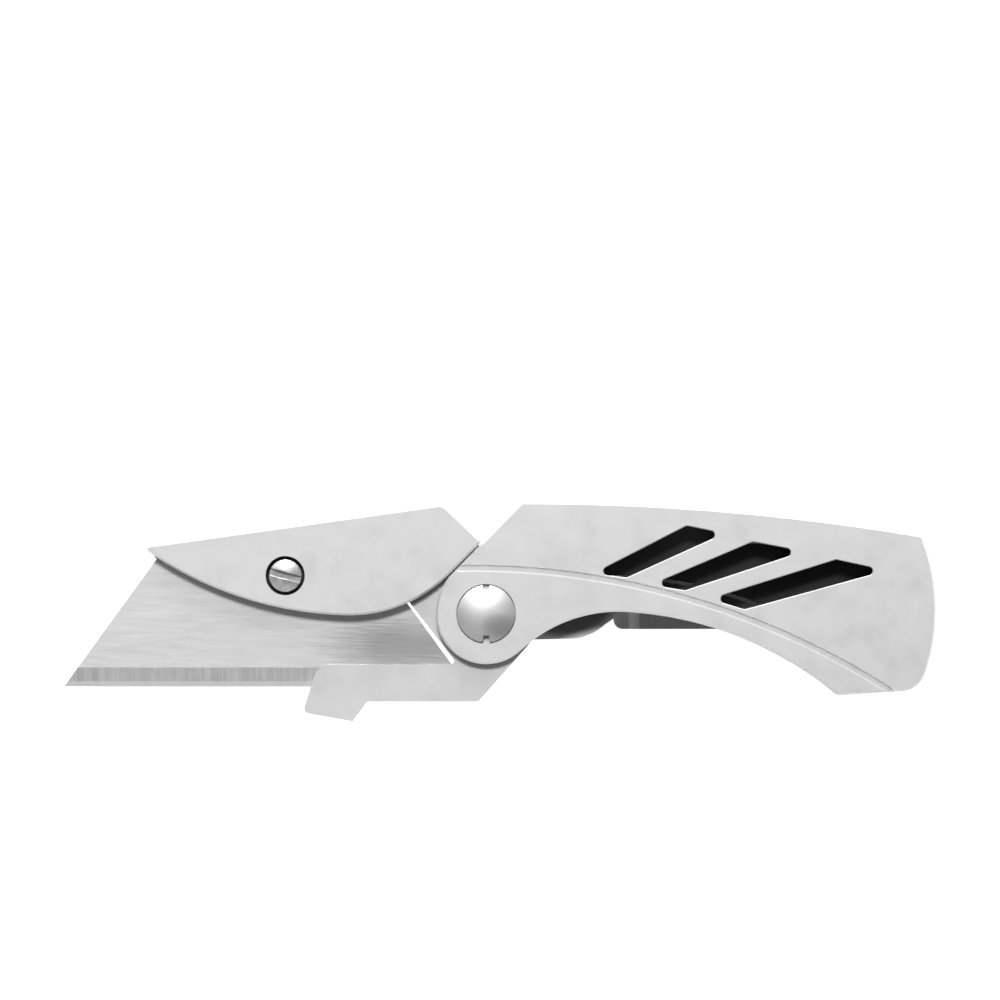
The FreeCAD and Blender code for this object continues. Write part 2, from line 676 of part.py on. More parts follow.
def make_pivot_screw():
    """Domed front screw with two spanner notches in its rim."""
    side = "pivot_side_height"
    dome = "pivot_dome_rise"
    body = turned("pivot_screw", "face_level - pivot_sink + 0.02", [
        ("0", "0.1 - pivot_thread_length"),
        ("pivot_thread_radius", "0.1 - pivot_thread_length"),
        ("pivot_thread_radius", "0"),
        ("pivot_head_radius", "0"),
        ("pivot_head_radius", side, "out",
         "(pow(pivot_head_radius; 2) + pow(%s; 2)) / (2 * %s)" % (dome, dome)),
        ("0", "%s + %s" % (side, dome)),
    ])
    notches = new_sketch(body, "spanner_notches", "pivot_side_height * 0.4")
    half = "spanner_notch_width / 2"
    deep = "pivot_head_radius - spanner_notch_depth"
    for way in ("", "0 - "):
        inner, outer = way + "(%s)" % deep, way + "(pivot_head_radius + 1)"
        low, high = (inner, outer) if not way else (outer, inner)
        draw(notches, [
            ("0 - " + half, low), (half, low), (half, high), ("0 - " + half, high)])
    cut(body, notches, "pivot_side_height + pivot_dome_rise")
    return body


def make_washer(label, level, outer):
    """Thin bearing washer round the barrel."""
    return turned(label, level, [
        ("barrel_radius + running_play", "washer_play / 2"),
        (outer, "washer_play / 2"),
        (outer, "washer_gap - washer_play / 2"),
        ("barrel_radius + running_play", "washer_gap - washer_play / 2"),
    ])


def make_stop_pin():
    """Short pin in the rear frame that runs in the tang's track and stops it at both ends."""
    low = "plate_wall - stop_pin_seat + 0.02"
    high = "plate_wall + washer_gap + stop_pin_reach"
    return turned("stop_pin", "clip_standoff", [
        ("0", low), ("stop_pin_radius", low), ("stop_pin_radius", high), ("0", high)],
        up="pivot_y + stop_circle_radius")


def make_spine_spacer():
    """Bar between the plates, over the closed blade's edge and round the top of the tail."""
    body = new_body("spine_spacer", "clip_standoff + plate_wall")
    outline = new_sketch(body, "outline")
    turn = "(180 - fold_angle)"
    edge = "(edge_drop + spacer_edge_room) / cos(%s * 1deg) - (%%s) * tan(%s * 1deg)" % (turn, turn)
    front = "spacer_start_radius * cos(spacer_low_angle * 1deg)"
    front_top = "spacer_start_radius * cos(spacer_high_angle * 1deg)"
    sweep = "sqrt(pow(tip_reach; 2) + pow(edge_drop; 2)) + 0.45"
    tail_inner = "sqrt(pow(%s; 2) - pow(spacer_tail_drop; 2))" % sweep
    tail_outer = ("tail_centre_along + sqrt(pow(tail_radius - spacer_inset; 2)"
                  " - pow(%s + tail_middle_up; 2))")
    top = ("spine_centre_up + sqrt(pow(spine_radius - spacer_inset; 2)"
           " - pow(%s - crown_along; 2))")
    corner_up = edge % "tip_reach"
    corner = "sqrt(pow(%s; 2) - pow(%s; 2))" % (sweep, corner_up)
    tail_top = "tail_top_up - spacer_inset * 1.2"
    tail_top_along = ("tail_centre_along + sqrt(pow(tail_radius - spacer_inset; 2)"
                      " - pow(%s - tail_middle_up; 2))" % tail_top)
    draw(outline, [
        (front, edge % front),
        (corner, corner_up, "in", sweep),
        (tail_inner, "0 - spacer_tail_drop"),
        (tail_outer % "spacer_tail_drop", "0 - spacer_tail_drop", "out",
         "tail_radius - spacer_inset"),
        (tail_top_along, tail_top, "out", "spine_radius - spacer_inset"),
        (front_top, top % ("(%s)" % front_top), "in", "spacer_start_radius"),
    ])
    pad(body, outline, "cavity")
    holes = new_sketch(body, "screw_holes")
    for along, up in SCREW_PLACES:
        ring(holes, along, up, "frame_screw_radius + fixed_play")
    cut(body, holes, "cavity")
    return body


def make_screw(label, shank, length, head, height, along, up):
    """Button-head screw that goes in from the back, with a six-sided socket."""
    body = turned(label, "clip_standoff", [
        ("0", "0 - (%s)" % height),
        (head + " - 0.25", "0 - (%s)" % height),
        (head, "0.25 - (%s)" % height),
        (head, "0 - 0.02"),
        (shank, "0 - 0.02"),
        (shank, length),
        ("0", length),
    ], "pivot_x + " + along, "pivot_y + " + up)
    socket = new_sketch(body, "socket", "0 - (%s)" % height)
    draw(socket, [polar("socket_radius", str(60 * side)) for side in range(6)])
    cut(body, socket, "socket_depth")
    return body


def join_copies(label, pieces):
    """Several alike pieces as one sub-part of separate solids."""
    for number, piece in enumerate(pieces, start=1):
        piece.Label = "%s_%d" % (label, number)
    group = doc.addObject("Part::Compound", label)
    group.Links = pieces
    group.Label = label
    doc.recompute()
    return group


def make_frame_screws():
    """Three screws that hold rear frame, spacer and front scale together."""
    length = "plate_wall + cavity + frame_screw_bite"
    return join_copies("frame_screws", [
        make_screw("frame_screw", "frame_screw_radius", length, "frame_screw_head_radius",
                   "frame_screw_head_height", along, up) for along, up in SCREW_PLACES])


def make_clip_screws():
    """Two screws that hold the clip's foot to the rear frame."""
    body_level = "clip_wall"
    return join_copies("clip_screws", [
        make_clip_screw(along, up, body_level) for along, up in CLIP_SCREW_PLACES])


def make_clip_screw(along, up, foot):
    """One clip screw: its head stands on the clip's foot."""
    body = turned("clip_screw", "clip_standoff", [
        ("0", "0 - %s - clip_screw_head_height" % foot),
        ("clip_screw_head_radius - 0.3", "0 - %s - clip_screw_head_height" % foot),
        ("clip_screw_head_radius", "0.3 - %s - clip_screw_head_height" % foot),
        ("clip_screw_head_radius", "0 - %s - 0.01" % foot),
        ("clip_screw_radius", "0 - %s - 0.01" % foot),
        ("clip_screw_radius", "clip_screw_bite"),
        ("0", "clip_screw_bite"),
    ], "pivot_x + " + along, "pivot_y + " + up)
    socket = new_sketch(body, "socket", "0 - %s - clip_screw_head_height" % foot)
    draw(socket, [polar("socket_radius", str(60 * side)) for side in range(6)])
    cut(body, socket, "socket_depth")
    return body


def make_pocket_clip():
    """Sprung steel strip: foot, hump, touching bend and flared lip, drawn from the side."""
    body = new_body("pocket_clip", "0", up="pivot_y + clip_centre_up")
    side = new_sketch(body, "side", plane="XZ_Plane")
    base = "clip_standoff"
    touch = "%s - clip_touch_gap" % base
    lip = "%s - clip_lip_flare" % touch
    foot = "%s - 0.01" % base
    draw(side, [
        ("clip_tip_along", "%s - clip_wall" % lip),
        ("clip_touch_along", "%s - clip_wall" % touch),
        ("clip_hump_start", "0"),
        ("clip_hump_end", "0"),
        ("clip_foot_start", "%s - clip_wall" % foot),
        ("clip_foot_end", "%s - clip_wall" % foot),
        ("clip_foot_end", foot),
        ("clip_foot_start - 0.4", foot),
        ("clip_hump_end - 0.4", "clip_wall"),
        ("clip_hump_start + 0.1", "clip_wall"),
        ("clip_touch_along", touch),
        ("clip_tip_along", lip),
    ])
    pad(body, side, "clip_width", symmetric=True)
    tips = []
    for number, edge in enumerate(body.Tip.Shape.Edges, start=1):
        ends = [vertex.Point for vertex in edge.Vertexes]
        across = abs(ends[0].y - ends[1].y)
        near_end = min(abs(ends[0].x - value(end)) for end in ("clip_tip_along", "clip_foot_end"))
        if across < 1e-4 and abs(ends[0].x - ends[1].x) < 1e-4 and near_end < 1e-3:
            tips.append("Edge%d" % number)
    dress(body, "Fillet", tips, "clip_corner_round")
    holes = new_sketch(body, "screw_holes")
    for along, _ in CLIP_SCREW_PLACES:
        ring(holes, along, "0", "clip_screw_radius + fixed_play")
    cut(body, holes, "clip_standoff")
    return body


# ---------------------------------------------------------------- carrier and what it holds

COVER_TIP = ("0 - cover_tip_back", "cover_tip_up")
COVER_TOP = ("0 - cover_top_back", "cover_top_up")
COVER_RIGHT = ("0 - cover_right_back", "cover_offset - cover_right_back")


def make_cover_plate():
    """Crescent-shaped cover over the blade's back, flush with the front scale."""
    body = new_body("cover_plate", "cover_level")
    outline = new_sketch(body, "outline")
    draw(outline, [
        COVER_TIP + ("out", "crescent_long_radius"),
        ("0 - crescent_middle_back", "0 - crescent_middle_drop", "out", "crescent_short_radius"),
        ("0 - crescent_end_back", "cover_offset - crescent_end_back"),
        COVER_RIGHT,
        COVER_TOP,
    ])
    pad(body, outline, "cover_wall")
    dress(body, "Fillet", upright_edges(body, [COVER_TIP]), "cover_tip_round")
    dress(body, "Fillet", upright_edges(body, [COVER_TOP]), "cover_top_round")
    dress(body, "Chamfer", rim_edges(body, "cover_wall"), "edge_break")
    sink = new_sketch(body, "screw_sink", "cover_wall - clamp_sink")
    ring(sink, "0 - clamp_back", "clamp_up", "clamp_hole_radius")
    cut(body, sink, "clamp_sink")
    through = new_sketch(body, "screw_hole")
    ring(through, "0 - clamp_back", "clamp_up", "clamp_shank_radius + clamp_shank_play")
    cut(body, through, "cover_wall")
    recess = new_sketch(body, "ring_recess")
    ring(recess, "0 - clamp_back", "clamp_up", "ring_recess_radius")
    cut(body, recess, "ring_wall + 2 * ring_room")
    dowels = new_sketch(body, "dowel_holes")
    for along, up in DOWEL_PLACES:
        ring(dowels, along, up, "dowel_radius + running_play")
    cut(body, dowels, "dowel_bite + 0.1")
    return body


# The left dowel stands in the blade's free notch, the right one beside the tang.
DOWEL_PLACES = [("0 - clamp_back - notch_pitch", "clamp_up"), ("0 - rear_dowel_back", "rear_dowel_up")]


def make_carrier_frame():
    """Tang, jaw and cheek in one piece, with the blade's seat milled into it."""
    body = new_body("carrier_frame", "carrier_level")
    outline = new_sketch(body, "outline")
    lobe = "0 - lobe_face_angle"
    start = "(cover_tip_back - 1.6)"
    draw(outline, [
        polar("lobe_radius", lobe),
        polar("tang_radius", lobe) + ("out", "tang_radius"),
        polar("tang_radius", "97"),
        ("0 - cover_right_back - cover_inset * 1.4", "cover_offset - cover_right_back"),
        ("0 - cover_top_back - cover_inset * 0.4", "cover_top_up - cover_inset"),
        ("0 - " + start, "cover_tip_up + cover_slope * 1.6 - cover_inset"),
        ("0 - %s + 0.4" % start, crescent_up("(%s - 0.4)" % start, "cover_inset"), "out",
         "crescent_long_radius - cover_inset"),
        ("0 - crescent_middle_back", "cover_inset - crescent_middle_drop", "out",
         "crescent_short_radius - cover_inset"),
        ("0 - gap_top_back", "gap_top_up"),
        ("0 - gap_foot_back", "0 - jaw_top_drop"),
        ("0 - jaw_front_back", "0 - jaw_top_drop"),
        ("0 - jaw_toe_back", "0 - jaw_toe_drop"),
        ("0 - jaw_low_back", "0 - jaw_drop"),
        ("0 - jaw_sole_start_back", "0 - jaw_sole_drop"),
        ("0 - jaw_sole_end_back", "0 - jaw_sole_drop"),
        ("lobe_radius * cos(41.65deg)", "0 - lobe_radius * sin(41.65deg)", "out", "lobe_radius"),
    ])
    pad(body, outline, "carrier_wall")
    dress(body, "Fillet", upright_edges(body, [("0 - gap_foot_back", "0 - jaw_top_drop")]),
          "gap_foot_round")
    dress(body, "Fillet", upright_edges(body, [("0 - jaw_front_back", "0 - jaw_top_drop")]),
          "jaw_front_round")
    dress(body, "Fillet", upright_edges(body, [("0 - jaw_toe_back", "0 - jaw_toe_drop")]),
          "jaw_toe_round")
    dress(body, "Fillet", upright_edges(body, [("0 - jaw_sole_start_back", "0 - jaw_sole_drop")]),
          "gap_foot_round")

    # The cover's seat: everything under the cover, and a little round it, is milled down.
    seat = new_sketch(body, "cover_seat", "blade_shelf + blade_wall + blade_play")
    draw(seat, [
        ("0 - cover_tip_back - 2", "cover_tip_up - 1", "out", "crescent_long_radius"),
        ("0 - crescent_middle_back", "0 - crescent_middle_drop - cover_inset", "out",
         "crescent_short_radius"),
        ("0 - crescent_end_back + 0.2", "cover_offset - crescent_end_back - 0.4"),
        ("0.3", "cover_offset"),
        ("0.3", "cover_top_up + 1"),
        ("0 - cover_tip_back - 2", "cover_top_up + 1"),
    ])
    cut(body, seat, "carrier_wall - blade_shelf - blade_wall - blade_play")

    # The blade's seat: open under the cover, a closed slot inside the jaw.
    upper = new_sketch(body, "blade_seat", "blade_shelf")
    draw(upper, blade_corners("seat_play"))
    cut(body, upper, "blade_wall + blade_play")

    relief = new_sketch(body, "lock_relief")
    draw(relief, [
        polar("tang_radius", "141") + ("out", "tang_radius"),
        polar("tang_radius", "262"),
        ("-0.5", "-9.3"),
        ("0 - gap_foot_back - 3", "0 - jaw_top_drop - 1.6"),
        ("0 - gap_top_back - 1.2", "gap_top_up - 1"),
        ("0 - tab_end_along - relief_margin", "0 - crescent_middle_drop - relief_margin"),
        ("0 - tab_end_along - relief_margin", "relief_margin"),
        ("0 - tab_slope_along", "tab_slope_drop + relief_margin * 1.5"),
        ("0 - tab_corner_along", "tab_drop + relief_margin"),
        ("0 - tang_radius * 0.84", "tab_drop + relief_margin"),
    ])
    cut(body, relief, "swing_relief")

    track = new_sketch(body, "stop_track")
    half = "(stop_pin_radius + stop_pin_play)"
    outer, inner = "stop_circle_radius + " + half, "stop_circle_radius - " + half
    low = "90 - fold_angle"
    middle = "90 - fold_angle / 2"
    draw(track, [
        polar(inner, low) + ("out", half),
        beside("stop_circle_radius", low, half, "-") + ("out", half),
        polar(outer, low) + ("out", outer),
        polar(outer, middle) + ("out", outer),
        polar(outer, "90") + ("out", half),
        beside("stop_circle_radius", "90", half, "+") + ("out", half),
        polar(inner, "90") + ("in", inner),
        polar(inner, middle) + ("in", inner),
    ])
    cut(body, track, "track_depth")

    holes = new_sketch(body, "holes")
    ring(holes, "0", "0", "barrel_radius + running_play")
    ring(holes, "0 - clamp_back", "clamp_up", "nut_radius + fixed_play")
    cut(body, holes, "carrier_wall")
    flange = new_sketch(body, "nut_flange_seat")
    ring(flange, "0 - clamp_back", "clamp_up", "nut_flange_radius + fixed_play")
    cut(body, flange, "nut_flange_height + fixed_play")
    dowels = new_sketch(body, "dowel_holes", "dowel_start - 0.02")
    for along, up in DOWEL_PLACES:
        ring(dowels, along, up, "dowel_radius + fixed_play")
    cut(body, dowels, "carrier_wall")
    return body


def make_utility_blade():
    """Trapezoid blade: ground bevel, honed edge, two notches in its back."""
    body = new_body("utility_blade", "blade_level")
    profile = new_sketch(body, "profile", "0 - tip_reach", plane="YZ_Plane")
    middle = "blade_wall / 2"
    edge = "0 - edge_drop"
    draw(profile, [
        (edge, middle + " - edge_wall / 2"),
        (edge + " + honed_height", middle + " - honed_wall / 2"),
        (edge + " + bevel_height", "0"),
        ("blade_back_up", "0"),
        ("blade_back_up", "blade_wall"),
        (edge + " + bevel_height", "blade_wall"),
        (edge + " + honed_height", middle + " + honed_wall / 2"),
        (edge, middle + " + edge_wall / 2"),
    ])
    pad(body, profile, "blade_length")
    ends = new_sketch(body, "ends")
    low, high = "0 - edge_drop", "blade_back_up"
    draw(ends, [
        ("0 - tip_reach", low),
        ("0 - tip_reach + blade_end_slant", high),
        ("0 - tip_reach + blade_end_slant", high + " + 1"),
        ("0 - tip_reach - 1", high + " + 1"),
        ("0 - tip_reach - 1", low),
    ])
    draw(ends, [
        ("0 - blade_rear_back", low),
        ("1 - blade_rear_back", low),
        ("1 - blade_rear_back", high + " + 1"),
        ("0 - blade_rear_back - blade_end_slant", high + " + 1"),
        ("0 - blade_rear_back - blade_end_slant", high),
    ])
    cut(body, ends, "blade_wall")
    notches = new_sketch(body, "notches")
    for place in ("0 - blade_middle_back - notch_pitch / 2", "0 - blade_middle_back + notch_pitch / 2"):
        left, right = place + " - notch_radius", place + " + notch_radius"
        draw(notches, [
            (right, "clamp_up"),
            (right, high + " + 1"),
            (left, high + " + 1"),
            (left, "clamp_up", "out", "notch_radius"),
            (place, "clamp_up - notch_radius", "out", "notch_radius"),
        ])
    cut(body, notches, "blade_wall")
    return body


def make_clamp_screw():
    """Captive screw with a wide slot: domed head in the cover, grooved shank, thread in the nut."""
    head = "cover_wall - clamp_sink + 0.02"
    side = head + " + clamp_side_height"
    groove_low = "ring_room - 0.02"
    groove_high = "ring_room + ring_wall + 0.02"
    neck = "clamp_shank_radius - ring_groove_depth"
    tip = "0 - blade_wall - blade_play - clamp_bite"
    body = turned("clamp_screw", "cover_level", [
        ("0", tip),
        ("clamp_shank_radius - 0.2", tip),
        ("clamp_shank_radius", tip + " + 0.2"),
        ("clamp_shank_radius", groove_low),
        (neck, groove_low),
        (neck, groove_high),
        ("clamp_shank_radius", groove_high),
        ("clamp_shank_radius", head),
        ("clamp_head_radius", head),
        ("clamp_head_radius", side, "out",
         "(pow(clamp_head_radius; 2) + pow(clamp_dome_rise; 2)) / (2 * clamp_dome_rise)"),
        ("0", side + " + clamp_dome_rise"),
    ], "pivot_x - clamp_back", "pivot_y + clamp_up")
    slot = new_sketch(body, "slot", side + " + clamp_dome_rise - clamp_slot_depth")
    half, far = "clamp_slot_width / 2", "clamp_head_radius + 1"
    turn = "clamp_slot_angle * 1deg"
    spots = [("0 - (%s)" % far, "0 - " + half), (far, "0 - " + half),
             (far, half), ("0 - (%s)" % far, half)]
    draw(slot, [("(%s) * cos(%s) - (%s) * sin(%s)" % (a, turn, b, turn),
                 "(%s) * sin(%s) + (%s) * cos(%s)" % (a, turn, b, turn)) for a, b in spots])
    cut(body, slot, "clamp_slot_depth")
    return body


def make_clamp_ring():
    """Split ring in the screw's groove that keeps the screw in the cover."""
    body = turned("clamp_ring", "cover_level", [
        ("clamp_shank_radius - ring_groove_depth + 0.03", "ring_room"),
        ("ring_radius", "ring_room"),
        ("ring_radius", "ring_room + ring_wall"),
        ("clamp_shank_radius - ring_groove_depth + 0.03", "ring_room + ring_wall"),
    ], "pivot_x - clamp_back", "pivot_y + clamp_up")
    mouth = new_sketch(body, "mouth", "ring_room")
    half = "ring_mouth / 2"
    draw(mouth, [
        ("0", "0 - " + half), ("ring_radius + 1", "0 - " + half),
        ("ring_radius + 1", half), ("0", half)])
    cut(body, mouth, "ring_wall")
    return body


def make_clamp_nut():
    """Flanged nut pressed into the carrier from the back."""
    top = "blade_shelf - 0.02"
    bore = "clamp_shank_radius + running_play"
    return turned("clamp_nut", "carrier_level", [
        (bore, "0.02"),
        ("nut_flange_radius", "0.02"),
        ("nut_flange_radius", "nut_flange_height"),
        ("nut_radius", "nut_flange_height"),
        ("nut_radius", top),
        (bore, top),
    ], "pivot_x - clamp_back", "pivot_y + clamp_up")


def make_cover_dowels():
    """Two dowels in the carrier that place the cover; one also stands in a notch of the blade."""
    low = "dowel_start"
    high = "blade_shelf + blade_wall + blade_play + dowel_bite"
    dowels = []
    for along, up in DOWEL_PLACES:
        dowels.append(turned("cover_dowel", "carrier_level", [
            ("0", low), ("dowel_radius", low), ("dowel_radius", high + " - 0.2"),
            ("dowel_radius - 0.2", high), ("0", high),
        ], "pivot_x + " + along, "pivot_y + " + up))
    return join_copies("cover_dowels", dowels)


def make_all():
    """Every sub-part, back to front."""
    return [
        make_pocket_clip(),
        make_clip_screws(),
        make_frame_screws(),
        make_rear_frame(),
        make_lock_bar(),
        make_detent_ball(),
        make_stop_pin(),
        make_spine_spacer(),
        make_pivot_barrel(),
        make_washer("rear_washer", "clip_standoff + plate_wall", "rear_washer_radius"),
        make_washer("front_washer", "scale_level - washer_gap", "front_washer_radius"),
        make_front_scale(),
        make_pivot_screw(),
        make_carrier_frame(),
        make_utility_blade(),
        make_cover_dowels(),
        make_clamp_nut(),
        make_cover_plate(),
        make_clamp_screw(),
        make_clamp_ring(),
    ]


def check_all(subparts):
    """Stop on any failed object and on any empty or broken sub-part."""
    for thing in doc.Objects:
        if "Invalid" in thing.State or "Error" in thing.State:
            raise RuntimeError("failed: %s %s" % (thing.Label, thing.State))
        if thing.TypeId == "Sketcher::SketchObject" and not thing.FullyConstrained:
            raise RuntimeError("loose sketch: %s" % thing.Name)
    for subpart in subparts:
        if subpart.Shape.isNull() or not subpart.Shape.isValid():
            raise RuntimeError("broken: %s" % subpart.Label)


fill_sheet()
finished = make_all()
doc.recompute()
check_all(finished)
for finished_part in finished:
    finished_part.Shape.exportStep("parts/%s.step" % finished_part.Label)
    print(finished_part.Label, len(finished_part.Shape.Solids), round(finished_part.Shape.Volume, 2))
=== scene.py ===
"""Looks of a folding utility knife: satin steel scales, a clamped blade and a frame lock."""

import logging
import math
from dataclasses import dataclass, field, replace
from enum import Enum
from typing import Any, Optional, Sequence

import bmesh
import bpy
import numpy as np
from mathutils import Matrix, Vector


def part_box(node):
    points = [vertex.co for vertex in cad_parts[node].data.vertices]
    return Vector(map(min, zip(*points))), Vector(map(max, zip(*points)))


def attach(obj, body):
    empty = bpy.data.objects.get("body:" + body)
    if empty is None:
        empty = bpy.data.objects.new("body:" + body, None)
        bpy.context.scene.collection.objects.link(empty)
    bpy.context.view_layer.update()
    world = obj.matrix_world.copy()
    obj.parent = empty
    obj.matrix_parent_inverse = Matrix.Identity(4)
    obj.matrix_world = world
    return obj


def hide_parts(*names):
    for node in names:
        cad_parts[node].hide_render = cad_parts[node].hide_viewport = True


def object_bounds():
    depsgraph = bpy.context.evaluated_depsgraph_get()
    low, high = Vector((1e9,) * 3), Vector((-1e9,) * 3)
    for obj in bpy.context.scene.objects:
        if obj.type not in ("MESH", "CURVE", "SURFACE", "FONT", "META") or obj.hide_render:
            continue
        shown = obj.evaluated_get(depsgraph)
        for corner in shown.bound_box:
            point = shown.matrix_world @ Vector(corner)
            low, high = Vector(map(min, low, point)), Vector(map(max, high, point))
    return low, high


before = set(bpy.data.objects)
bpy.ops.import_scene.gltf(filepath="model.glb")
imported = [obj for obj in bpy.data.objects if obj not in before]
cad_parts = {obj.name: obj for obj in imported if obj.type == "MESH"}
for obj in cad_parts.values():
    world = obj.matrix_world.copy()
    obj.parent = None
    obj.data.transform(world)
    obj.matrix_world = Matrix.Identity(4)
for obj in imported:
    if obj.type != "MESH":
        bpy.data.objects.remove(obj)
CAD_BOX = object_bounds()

MM = 0.001
WELD = 2e-8
LOG = logging.getLogger("utility_knife")

Colour = tuple[float, float, float]
Triple = tuple[float, float, float]

BLACK: Colour = (0.0, 0.0, 0.0)
WHITE = (1.0, 1.0, 1.0, 1.0)


def grey(level: float) -> Colour:
    """A neutral tint."""
    return (level, level, level)


def scaled(tint: Colour, share: float) -> Colour:
    """A tint made darker or paler, held at full brightness."""
    return tuple(min(1.0, c * share) for c in tint)


# ---------------------------------------------------------------- node helpers


class Recipe:
    """Writes the shader nodes of one material, in the order they are read."""

    def __init__(self, name: str) -> None:
        """Start an empty material.

        Args:
            name: the material's name.
        """
        self.material = bpy.data.materials.new(name)
        self.material.use_nodes = True
        self.tree = self.material.node_tree
        self.tree.nodes.clear()
        self.step = 0

    def add(self, kind: str, inputs: Optional[dict[Any, Any]] = None,
            **settings: Any) -> bpy.types.Node:
        """Add a node, set it up and join its inputs.

        Args:
            kind: the node's type name.
            inputs: input name or number to a constant or to another node's output.
            settings: the node's own properties.

        Returns:
            The new node.
        """
        node = self.tree.nodes.new(kind)
        node.location = (self.step * 180, 0)
        self.step += 1
        for key, value in settings.items():
            setattr(node, key, value)
        for key, value in (inputs or {}).items():
            if isinstance(value, bpy.types.NodeSocket):
                self.tree.links.new(value, node.inputs[key])
            else:
                node.inputs[key].default_value = value
        return node

    def place(self) -> bpy.types.NodeSocket:
        """Return the piece's own coordinates, in metres."""
        return self.add("ShaderNodeTexCoord").outputs["Object"]

    def facing(self) -> bpy.types.NodeSocket:
        """Return how far each face looks up the piece's own Z axis, from -1 to 1."""
        normal = self.add("ShaderNodeTexCoord").outputs["Normal"]
        return self.add("ShaderNodeSeparateXYZ", {0: normal}).outputs["Z"]

    def stretch(self, where: bpy.types.NodeSocket, size_mm: Triple,
                turn: float = 0.0) -> bpy.types.NodeSocket:
        """Turn coordinates about Z and scale them so that one unit is size_mm.

        Args:
            where: coordinates in metres.
            size_mm: length of one unit along each axis, in millimetres.
            turn: angle about Z in degrees.

        Returns:
            The new coordinates.
        """
        turned = self.add("ShaderNodeMapping",
                          {"Vector": where, "Rotation": (0, 0, math.radians(turn))})
        scale = tuple(1 / (s * MM) for s in size_mm)
        return self.add("ShaderNodeMapping",
                        {"Vector": turned.outputs[0], "Scale": scale}).outputs[0]

    def noise(self, where: bpy.types.NodeSocket, detail: float = 3.0,
              rough: float = 0.55) -> bpy.types.NodeSocket:
        """Return smooth noise around 0.5, one lump per unit of the coordinates."""
        return self.add("ShaderNodeTexNoise", {"Vector": where, "Scale": 1.0, "Detail": detail,
                                               "Roughness": rough}).outputs[0]

    def remap(self, value: Any, low: float, high: float, first: float, last: float,
              soft: bool = False) -> bpy.types.NodeSocket:
        """Map low..high onto first..last, held at both ends."""
        return self.add("ShaderNodeMapRange", {0: value, 1: low, 2: high, 3: first, 4: last},
                        interpolation_type="SMOOTHSTEP" if soft else "LINEAR").outputs[0]

    def math(self, operation: str, a: Any, b: Any = 0.0) -> bpy.types.NodeSocket:
        """Return a sum, product or other plain operation on two values."""
        return self.add("ShaderNodeMath", {0: a, 1: b}, operation=operation).outputs[0]

    def mix(self, share: Any, a: Any, b: Any) -> bpy.types.NodeSocket:
        """Mix two colours, from a at share 0 to b at share 1."""
        a, b = (c if isinstance(c, bpy.types.NodeSocket) else (*c, 1.0) for c in (a, b))
        node = self.add("ShaderNodeMix", {"Factor": share, 6: a, 7: b}, data_type="RGBA")
        return node.outputs[2]

    def oval(self, parts: bpy.types.Node, centre: tuple[float, float],
             reach: tuple[float, float]) -> bpy.types.NodeSocket:
        """Return the squared distance from a centre, where 1 is the rim of an ellipse.

        Args:
            parts: the node that gives X, Y and Z.
            centre: the ellipse's middle, in mm.
            reach: its half axes, in mm.
        """
        x, y = (self.math("DIVIDE", self.math("SUBTRACT", parts.outputs[axis], at * MM), half * MM)
                for axis, at, half in zip("XY", centre, reach))
        return self.math("ADD", self.math("MULTIPLY", x, x), self.math("MULTIPLY", y, y))

    def finish(self, surface: dict[str, Any], height: Any, strength: float,
               depth_mm: float) -> bpy.types.Material:
        """Close the recipe with a principled surface and its fine relief.

        Args:
            surface: inputs of the principled surface.
            height: the relief, 0 to 1.
            strength: how strongly the relief shows.
            depth_mm: depth that relief 1 stands for.

        Returns:
            The finished material.
        """
        relief = self.add("ShaderNodeBump", {"Height": height, "Strength": strength,
                                             "Distance": depth_mm * MM})
        shader = self.add("ShaderNodeBsdfPrincipled",
                          {**surface, "Normal": relief.outputs[0]})
        out = self.add("ShaderNodeOutputMaterial")
        self.tree.links.new(shader.outputs[0], out.inputs["Surface"])
        return self.material


# -------------------------------------------------------------------- finishes


class Grain(Enum):
    """How a steel surface was worked. The value is the size of one grain in mm along X, Y and Z."""

    BLASTED = (0.16, 0.16, 0.16)
    BRUSHED_ALONG = (3.2, 0.07, 0.07)
    TUMBLED = (0.45, 0.45, 0.45)
    BUFFED = (1.6, 0.12, 0.12)
    RIPPLED = (1.3, 0.8, 1.0)


@dataclass(frozen=True)
class ShadeSpot:
    """A place of painted shade on a surface, as in a recess or under a part, also used for a
    painted dark reflection. Sizes in mm.

    It is an ellipse seen from the front. It reaches its tone at depth under the
    level below, and soft says how gently its rim fades.
    """

    centre: tuple[float, float]
    reach: tuple[float, float]
    below: float
    depth: float = 0.1
    tone: float = 0.1
    soft: float = 0.02


